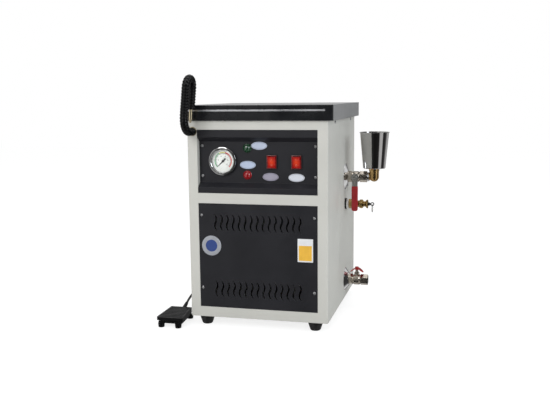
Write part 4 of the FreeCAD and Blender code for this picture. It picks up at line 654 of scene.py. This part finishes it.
def dial_band(name, first, last, inner, outer, colour):
    steps = max(int(abs(last - first) / BAND_STEP), 1)
    angles = [first + (last - first) * k / steps for k in range(steps + 1)]
    rings = [[on_dial(a, inner, INK_BACK), on_dial(a, outer, INK_BACK), on_dial(a, outer, INK_FRONT),
              on_dial(a, inner, INK_FRONT)] for a in angles]
    vertices, faces = swept(rings)
    ink = finish(name + "_ink", colour, 0.5, grain=2000, depth=0.002, mottle=0.08, edge=0.05)
    return solid(name, vertices, faces, "cabinet", ink, smooth=False)


dial_band("gauge_green_band", -SCALE_SWEEP, GREEN_END, BAND_INNER, BAND_OUTER, (0.2, 0.42, 0.25))
dial_band("gauge_yellow_band", GREEN_END, YELLOW_END, BAND_INNER, BAND_OUTER, (0.66, 0.6, 0.2))
dial_band("gauge_red_band", YELLOW_END, SCALE_SWEEP, BAND_INNER, BAND_OUTER, (0.62, 0.08, 0.07))
dial_band("gauge_scale_line", -SCALE_SWEEP, SCALE_SWEEP, LINE_INNER, LINE_OUTER, (0.02, 0.02, 0.02))

tick_vertices, tick_faces = [], []
for k in range(TICK_SPACES + 1):
    angle = -SCALE_SWEEP + 2 * SCALE_SWEEP * k / TICK_SPACES
    inner, half = SHORT_TICK if k % TICKS_TO_LONG else LONG_TICK
    corners = [on_dial(angle - half, inner, INK_BACK), on_dial(angle + half, inner, INK_BACK),
               on_dial(angle + half, TICK_OUTER, INK_BACK), on_dial(angle - half, TICK_OUTER, INK_BACK)]
    more, sides = swept([corners, [c + Vector((0, -TICK_THICKNESS, 0)) for c in corners]])
    tick_faces += [tuple(i + len(tick_vertices) for i in face) for face in sides]
    tick_vertices += more
solid("gauge_ticks", tick_vertices, tick_faces, "cabinet", needle_paint, smooth=False)


def lettering(name, words, place, size, body, made, depth=0.05):
    text = bpy.data.curves.new(name, "FONT")
    text.body = words
    text.size = size * MM
    text.align_x = "CENTER"
    text.align_y = "CENTER"
    text.extrude = depth * MM
    piece = bpy.data.objects.new(name, text)
    bpy.context.scene.collection.objects.link(piece)
    piece.location = Vector(place) * MM
    piece.rotation_euler = (math.pi / 2, 0, 0)
    bpy.context.view_layer.update()
    mesh = bpy.data.meshes.new_from_object(piece.evaluated_get(bpy.context.evaluated_depsgraph_get()))
    mesh.transform(piece.matrix_world)
    bpy.data.objects.remove(piece)
    mesh.name = name
    mesh.materials.clear()
    mesh.materials.append(made)
    kept = link(bpy.data.objects.new(name, mesh), body)
    return kept


for k in range(NUMBER_SPACES + 1):
    angle = -SCALE_SWEEP + 2 * SCALE_SWEEP * k / NUMBER_SPACES
    lettering("gauge_number_" + str(k), str(NUMBER_STEP * k), on_dial(angle, NUMBER_RADIUS, NUMBER_LIFT),
              NUMBER_SIZE, "cabinet", needle_paint)


# A ring this small stands for a point on the axis.
AXIS_RADIUS = 0.01


def circle_at(centre, heading, radius, count=48):
    heading = Vector(heading).normalized()
    side = heading.cross(Vector((1, 0, 0)) if abs(heading.x) < 0.9 else Vector((0, 0, 1))).normalized()
    other = heading.cross(side)
    turns = [2 * math.pi * k / count for k in range(count)]
    return [Vector(centre) + (side * math.cos(a) + other * math.sin(a)) * radius for a in turns]


def turned(name, start, heading, profile, body, made, count=56):
    """A turned piece. The profile is a closed list of (distance along the axis, radius)."""
    heading = Vector(heading).normalized()
    rings = [circle_at(Vector(start) + heading * along, heading, max(radius, AXIS_RADIUS), count)
             for along, radius in profile]
    vertices, faces = swept(rings, closed=True)
    return solid(name, vertices, faces, body, made)


turned("needle_cap", GAUGE + Vector((0, -CAP_FOOT, 0)), (0, -1, 0), cap_profile, "gauge_needle",
       needle_paint, 32)


# Indicator lamps
# A green and a red lens of clear moulded plastic, set in the control panel. The red one glows
# faintly.
LENS_INDEX = 1.49


def clear_plastic(name, colour, roughness, transmission, glow=0.0):
    made = finish(name, colour, roughness, grain=1400, depth=0.004, mottle=0.12, edge=0.5, coat=0.8,
                  mottle_scale=120, coat_roughness=0.04)
    shader = made.node_tree.nodes["Principled BSDF"]
    shader.inputs["Transmission Weight"].default_value = transmission
    shader.inputs["IOR"].default_value = LENS_INDEX
    shader.inputs["Emission Color"].default_value = (*colour, 1)
    shader.inputs["Emission Strength"].default_value = glow
    return made


give_to_slot("green_lens", clear_plastic("green_lens", (0.004, 0.06, 0.018), 0.16, 0.3))
give_to_slot("red_lens", clear_plastic("red_lens", (0.36, 0.006, 0.01), 0.16, 0.3, 0.05))


# Label plates
# Thin plates stuck to the steel, all of them blank: four ovals with a dark line beside the lamps and
# switches, and on the lower panel a round disc and a white plate with a yellow field.
PANEL_Y = -194.0
OVAL_SIZE = (40.0, 19.4)
OVAL_THICKNESS = 0.5
OVAL_LINE_SIZES = ((37.0, 16.4), (36.0, 15.4))
LINE_SUNK = 0.01
LINE_PROUD = 0.08
PLATE_STEPS = 48
FRONT_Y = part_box("lower_panel")[0][1] / MM
DISC_PLACE = (-118.0, 205.0)
DISC_SIZE = (50.0, 50.0)
DISC_THICKNESS = 0.6
DISC_STEPS = 72
DISC_CENTRE_SIZE = (30.0, 30.0)
DISC_CENTRE_THICKNESS = 0.3
DISC_CENTRE_STEPS = 56
WHITE_PLATE_PLACE = (119.7, 201.7)
WHITE_PLATE_SIZE = (38.0, 57.0)
WHITE_PLATE_CORNER = 1.0
WHITE_PLATE_THICKNESS = 0.5
WHITE_PLATE_RIM = 0.15
YELLOW_PLACE = (119.7, 195.0)
YELLOW_SIZE = (32.0, 37.0)
YELLOW_CORNER = 0.6
YELLOW_THICKNESS = 0.12
YELLOW_RIM = 0.05


def flat_plate(name, outline, face_y, thickness, made, rim=0.25):
    """A thin plate on a wall that faces the front, with a softened front edge."""
    centre = sum(outline, Vector()) / len(outline)
    rings = [
        [Vector((p.x, face_y - lift, p.z)) + (centre - p).normalized() * inset for p in outline]
        for lift, inset in ((0.0, 0), (thickness - rim, 0), (thickness, rim))
    ]
    vertices, faces = swept(rings)
    return solid(name, vertices, faces, "cabinet", made, angle=25)


def oval(x, z, width, height, count=PLATE_STEPS):
    turns = [2 * math.pi * k / count for k in range(count)]
    return [Vector((x + width / 2 * math.cos(a), 0, z + height / 2 * math.sin(a))) for a in turns]


def corners_of(x, z, width, height, radius, count=6):
    """The outline of a rectangle with rounded corners."""
    outline = []
    for cx, cz, start in ((1, 1, 0), (-1, 1, 90), (-1, -1, 180), (1, -1, 270)):
        for k in range(count + 1):
            a = math.radians(start + 90 * k / count)
            outline.append(Vector((x + cx * (width / 2 - radius) + radius * math.cos(a), 0,
                                   z + cz * (height / 2 - radius) + radius * math.sin(a))))
    return outline


def label_ink(name, colour, roughness=0.4, metallic=0.0):
    return finish(name, colour, roughness, metallic=metallic, grain=1500, depth=0.003, mottle=0.05,
                  mottle_scale=70, edge=0.15, coat=0.3)


plate_rim = label_ink("plate_rim_ink", (0.03, 0.035, 0.09))
plate_tints = {
    "green_lamp_plate": (3, 452.3, (0.52, 0.58, 0.72)),
    "red_lamp_plate": (-26, 405.5, (0.5, 0.58, 0.74)),
    "left_switch_plate": (31, 377, (0.36, 0.34, 0.42)),
    "right_switch_plate": (95.5, 376, (0.72, 0.75, 0.82)),
}
for name, (x, z, tint) in plate_tints.items():
    flat_plate(name, oval(x, z, *OVAL_SIZE), PANEL_Y, OVAL_THICKNESS, label_ink(name + "_ink", tint))
    outer, inner = (oval(x, z, *size) for size in OVAL_LINE_SIZES)
    back_y = PANEL_Y - OVAL_THICKNESS + LINE_SUNK
    front_y = PANEL_Y - OVAL_THICKNESS - LINE_PROUD
    rings = [[Vector((p.x, y, p.z)) for p in line]
             for line, y in ((outer, back_y), (outer, front_y), (inner, front_y), (inner, back_y))]
    vertices, faces = swept(rings, closed=True)
    solid(name + "_line", vertices, faces, "cabinet", plate_rim, smooth=False)

flat_plate("round_disc", oval(*DISC_PLACE, *DISC_SIZE, DISC_STEPS), FRONT_Y, DISC_THICKNESS,
           label_ink("disc_silver", (0.55, 0.57, 0.62), 0.35, 0.6))
flat_plate("round_disc_centre", oval(*DISC_PLACE, *DISC_CENTRE_SIZE, DISC_CENTRE_STEPS),
           FRONT_Y - DISC_THICKNESS, DISC_CENTRE_THICKNESS,
           label_ink("disc_blue", (0.025, 0.06, 0.24)))
flat_plate("white_plate", corners_of(*WHITE_PLATE_PLACE, *WHITE_PLATE_SIZE, WHITE_PLATE_CORNER), FRONT_Y,
           WHITE_PLATE_THICKNESS, label_ink("plate_white", (0.82, 0.83, 0.84)),
           WHITE_PLATE_RIM)
flat_plate("yellow_field", corners_of(*YELLOW_PLACE, *YELLOW_SIZE, YELLOW_CORNER),
           FRONT_Y - WHITE_PLATE_THICKNESS, YELLOW_THICKNESS,
           label_ink("plate_yellow", (0.88, 0.5, 0.05)), YELLOW_RIM)


# Rocker switches
# Two rockers in clear red plastic in black housings clipped into the panel; their glow is painted light,
# with no lamp inside.
# The usual line is moulded at the top and the usual ring at the foot, and a red rim goes round each.
MARK_RISE = 6.5
MARK_SUNK = 0.05
LINE_SIZES = ((1.1, 4.6), (0.1, 3.6))
RING_SIZES = ((4.6, 4.6), (3.4, 3.4))
RAY_START_Y = -0.5
RIM_CORNER = 1.2
# How far the rim stands off the housing, and its width and height, from the wall round to the wall.
rim_profile = [
    (-0.05, 24.2, 32.2), (0.35, 24.2, 32.2), (0.5, 23.8, 31.8), (0.5, 20.6, 30.0), (-0.05, 20.2, 29.8),
]
# The painted glow: full orange within the first share of the rocker's size from its middle, dark red
# past the second.
PAINTED_GLOW_CORE = 0.08
PAINTED_GLOW_EDGE = 0.5

dress(
    "switch_black", (0.008, 0.008, 0.009), 0.4, grain=1500, depth=0.012, mottle=0.12, edge=0.6,
    worn=(0.07, 0.07, 0.07), worn_share=0.4,
)

rocker_red = clear_plastic("rocker_red", (0.24, 0.004, 0.003), 0.24, 0.1, 0.45)
# Painted highlight: the rocker glows orange at the middle and fades to dark red at the edges, with no
# lamp inside.
tree = rocker_red.node_tree
rocker_shader = tree.nodes["Principled BSDF"]
rocker_shader.inputs["Coat Weight"].default_value = 0.25
across = tree.nodes.new("ShaderNodeTexCoord")
centred = vector_math(tree, "SUBTRACT", across.outputs["Generated"], (0.5, 0.5, 0.5))
flattened = vector_math(tree, "MULTIPLY", centred.outputs[0], (1, 0, 1))
away = vector_math(tree, "LENGTH", flattened.outputs[0])
painted_glow_share = reach(tree, away.outputs["Value"], PAINTED_GLOW_CORE, PAINTED_GLOW_EDGE, 1, 0)
tree.links.new(
    blend_colour(tree, painted_glow_share, (0.25, 0.002, 0.002), (0.95, 0.09, 0.02)),
    rocker_shader.inputs["Emission Color"],
)
give_to_slot("rocker_red", rocker_red)


def draped(name, outer, inner, node_name, made, lift=0.12):
    """A thin mark between two outlines, laid on the front of a CAD piece that is a body by itself."""
    node = frame["nodes"][node_name]
    mesh = node.data
    skin = BVHTree.FromPolygons(
        [node.matrix_world @ v.co for v in mesh.vertices], [tuple(p.vertices) for p in mesh.polygons],
    )
    rings = []
    for outline, rise in ((outer, -MARK_SUNK), (outer, lift), (inner, lift), (inner, -MARK_SUNK)):
        ring = []
        for p in outline:
            hit = skin.ray_cast(Vector((p.x * MM, RAY_START_Y, p.z * MM)), Vector((0, 1, 0)))[0]
            ring.append(Vector((p.x, hit.y / MM - rise, p.z)))
        rings.append(ring)
    vertices, faces = swept(rings, closed=True)
    return solid(name, vertices, faces, node_name, made, smooth=False)


mark_pale = label_ink("mark_pale", (0.62, 0.16, 0.1))
for side in ("left", "right"):
    middle = middle_of(side + "_rocker")
    for mark, rise, sizes in (("line", MARK_RISE, LINE_SIZES), ("ring", -MARK_RISE, RING_SIZES)):
        outer, inner = (oval(middle.x, middle.z + rise, *size) for size in sizes)
        draped(side + "_rocker_" + mark, outer, inner, side + "_rocker", mark_pale)

# The rim glows faintly too, as painted light.
rim_red = clear_plastic("rim_red", (0.16, 0.002, 0.002), 0.3, 0.1, 0.12)
housing_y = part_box("switch_housings")[0][1] / MM
housing_z = middle_of("switch_housings").z
for side in ("left", "right"):
    rim_x = middle_of(side + "_rocker").x
    rings = []
    for lift, width, height in rim_profile:
        outline = corners_of(rim_x, housing_z, width, height, RIM_CORNER)
        rings.append([Vector((p.x, housing_y - lift, p.z)) for p in outline])
    vertices, faces = swept(rings, closed=True)
    solid(side + "_rocker_rim", vertices, faces, "cabinet", rim_red)


# Valve fittings
# On the right wall: two nickelled ball valves on chromed rosettes, the upper one with a brass elbow and
# the steel filler cup, joined by a bright union collar, and between them a brass safety valve on a
# black rubber washer with a white disc. All are screwed onto the pipes from the boiler.
FITTINGS_Y = middle_of("safety_washer").y
WALL_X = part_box("right_side_panel")[1][0] / MM
SAFETY_Z = 281.5
FILL_Z = middle_of("fill_valve_body").z
DISC_STANDS_OFF = 4.6
COLLAR_X = 233.6
washer_disc_profile = [
    (0, 13.4), (0, 14.2), (4.2, 14.2), (5.0, 13.6), (5.45, 13.0), (5.45, 9.5), (5.3, 9.5), (5.3, 13.4),
]
collar_profile = [(0, 9.6), (0, 11.4), (0.8, 12.2), (4.6, 12.2), (5.6, 11.2), (5.6, 9.6)]

rosette_chrome = dress(
    "rosette_chrome", (0.8, 0.8, 0.8), 0.14, metallic=1.0, grain=1600, depth=0.003,
    mottle=0.05, mottle_scale=60, edge=0.6, spread=0.06,
)
dress(
    "valve_nickel", (0.5, 0.45, 0.39), 0.2, metallic=1.0, grain=900, depth=0.03, mottle=0.16,
    mottle_scale=80, edge=0.6, worn=(0.66, 0.6, 0.5), worn_share=0.5,
)
dress(
    "lever_steel", (0.46, 0.45, 0.43), 0.28, metallic=1.0, grain=1400, depth=0.006,
    stretch=(1, 1, 0.08), mottle=0.12, mottle_scale=60, edge=0.4, worn=(0.8, 0.8, 0.78),
    worn_share=0.5,
)
dress(
    "grip_red_metal", (0.42, 0.012, 0.014), 0.28, grain=900, depth=0.01, mottle=0.1, edge=0.6,
    worn=(0.7, 0.12, 0.08), worn_share=0.5, coat=0.4,
)
dress(
    "elbow_brass", (0.55, 0.36, 0.15), 0.26, metallic=1.0, grain=700, depth=0.05, mottle=0.22,
    mottle_scale=70, edge=0.8, worn=(0.72, 0.52, 0.24), worn_share=0.6,
)
dress(
    "cup_steel", (0.48, 0.47, 0.465), 0.07, metallic=1.0, grain=1500, stretch=(0.12, 0.12, 1),
    depth=0.0015, mottle=0.05, mottle_scale=30, edge=0.5, spread=0.03,
)
dress(
    "washer_rubber", (0.008, 0.008, 0.008), 0.6, grain=900, depth=0.02, mottle=0.15, edge=0.8,
)
dress(
    "safety_brass", (0.46, 0.31, 0.12), 0.2, metallic=1.0, grain=1300, depth=0.006,
    stretch=(5, 1, 1), mottle=0.12, mottle_scale=90, edge=0.5, worn=(0.88, 0.72, 0.4),
    worn_share=0.6,
)
dress(
    "stem_black", (0.03, 0.03, 0.032), 0.36, metallic=0.6, grain=1500, depth=0.005, mottle=0.1,
    edge=0.3, worn=(0.2, 0.2, 0.2), worn_share=0.5,
)
dress(
    "ring_steel", (0.62, 0.62, 0.62), 0.22, metallic=1.0, grain=1500, depth=0.002, mottle=0.05,
    edge=0.2,
)

turned("washer_disc", (WALL_X + DISC_STANDS_OFF, FITTINGS_Y, SAFETY_Z), (1, 0, 0), washer_disc_profile,
       "cabinet", label_ink("washer_white", (0.74, 0.74, 0.72)))
turned("union_collar", (COLLAR_X, FITTINGS_Y, FILL_Z), (1, 0, 0), collar_profile, "cabinet",
       rosette_chrome)


# Fill valve grip
# A flattened red plastic sleeve pushed onto the steel lever, round at the tip, with a moulded collar
# at the top.
GRIP_ROUNDING = 0.42
# The height above the tip, the width and the thickness.
grip_shape = [
    (0, 6.0, 2.6), (0.35, 9.4, 4.2), (1.1, 12.2, 5.6), (2.4, 14.6, 6.6), (4.4, 16.4, 7.2), (7, 17, 7.5),
    (34, 16.7, 7.4), (61.4, 17, 7.5), (61.7, 16.5, 7.0), (62.3, 16.5, 7.0), (62.6, 17, 7.5),
    (65.4, 17, 7.5), (66.3, 16.4, 7.0), (66.5, 15.6, 6.4),
]
grip_red = dress(
    "grip_red", (0.36, 0.008, 0.012), 0.36, grain=1200, depth=0.012, mottle=0.1, edge=0.8,
    worn=(0.62, 0.06, 0.05), worn_share=0.5, coat=0.2, coat_roughness=0.3,
)
grip_middle = middle_of("fill_grip")
grip_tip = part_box("fill_grip")[0][2] / MM
rings = []
for along, width, thickness in grip_shape:
    flat = corners_of(0, 0, width, thickness, GRIP_ROUNDING * thickness)
    rings.append([Vector((grip_middle.x + p.x, grip_middle.y + p.z, grip_tip + along)) for p in flat])
vertices, faces = swept(rings)
fill_grip = solid("grip_sleeve", vertices, faces, "fill_lever", grip_red)
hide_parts("fill_grip")


# Pedal and cable glands
# The foot pedal's base and its treadle are moulded in black plastic, and so are the two cable glands
# that are screwed into the cabinet's walls.
dress(
    "pedal_plastic", (0.002, 0.002, 0.0023), 0.38, grain=1300, depth=0.02, mottle=0.15, edge=0.9,
    mottle_scale=35, worn=(0.025, 0.025, 0.025), worn_share=0.5, speck=0.2, shine=0.2,
)
dress(
    "gland_plastic", (0.008, 0.008, 0.008), 0.45, grain=1200, depth=0.01, mottle=0.15, edge=0.5,
    worn=(0.07, 0.07, 0.07), worn_share=0.4,
)


# Pedal spring
# A steel compression spring under the front of the treadle, standing on a seat in the pedal's base.
# It is built at one fixed length.
SPRING_FOOT = Vector((-220.0, -218.0, 14.0))
SPRING_RADIUS = 5.5
SPRING_WIRE = 0.6
SPRING_TURNS = 5
SPRING_CLIMB = 8.2
SPRING_STEPS = 28
WIRE_SIDES = 10
TURN_NUDGE = 0.01

spring_steel = dress(
    "spring_steel", (0.5, 0.5, 0.5), 0.3, metallic=1.0, grain=1500, depth=0.003, mottle=0.1,
    edge=0.2,
)


def spring_place(turn):
    a = 2 * math.pi * turn
    lift = SPRING_WIRE + SPRING_CLIMB * turn / SPRING_TURNS
    return SPRING_FOOT + Vector((SPRING_RADIUS * math.cos(a), SPRING_RADIUS * math.sin(a), lift))


rings = []
for step in range(SPRING_TURNS * SPRING_STEPS + 1):
    turn = step / SPRING_STEPS
    heading = (spring_place(turn + TURN_NUDGE) - spring_place(turn - TURN_NUDGE)).normalized()
    outward = (spring_place(turn) - SPRING_FOOT) * Vector((1, 1, 0))
    outward.normalize()
    other = heading.cross(outward)
    rings.append([
        spring_place(turn) + (outward * math.cos(a) + other * math.sin(a)) * SPRING_WIRE
        for a in (2 * math.pi * k / WIRE_SIDES for k in range(WIRE_SIDES))
    ])
vertices, faces = swept(rings)
pedal_spring = solid("wire_spring", vertices, faces, "cabinet", spring_steel)
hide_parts("pedal_spring")
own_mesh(pedal_spring)


# Pedal cord boot
# A ribbed rubber sleeve that leads the cord up out of the back of the pedal. It tapers from rib to
# rib and ends in a small rolled lip.
BOOT_LENGTH = 17.0
BOOT_RIBS = 6
BOOT_FIRST_RIB = 1.5
BOOT_RIB_PITCH = 2.5
BOOT_RADIUS = 5.4
BOOT_TAPER = 1.6
BOOT_LIP = 0.4
# Each rib, as the distance from its foot and how much it falls short of the full radius.
boot_rib = [(0, 0), (1.5, 0.15), (1.7, 0.7), (2.3, 0.75)]
boot_lip = [
    (BOOT_LENGTH, 3.7), (BOOT_LENGTH + BOOT_LIP, 3.1), (BOOT_LENGTH + BOOT_LIP, AXIS_RADIUS),
]

boot_rubber = dress(
    "boot_rubber", (0.008, 0.008, 0.008), 0.6, grain=1100, depth=0.012, mottle=0.15, edge=0.4,
    sheen=0.1,
)
boot_end = Vector(cord_points[0])
boot_heading = (Vector(cord_points[1]) - boot_end).normalized()
boot_start = boot_end - boot_heading * BOOT_LENGTH
profile = [(0, AXIS_RADIUS)]
for k in range(BOOT_RIBS):
    foot = BOOT_FIRST_RIB + k * BOOT_RIB_PITCH
    outer = BOOT_RADIUS - BOOT_TAPER * k / BOOT_RIBS
    profile += [(foot + along, outer - short) for along, short in boot_rib]
profile += boot_lip
boot = turned("cord_boot", boot_start, boot_heading, profile, "cabinet", boot_rubber, 40)
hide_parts("pedal_boot")
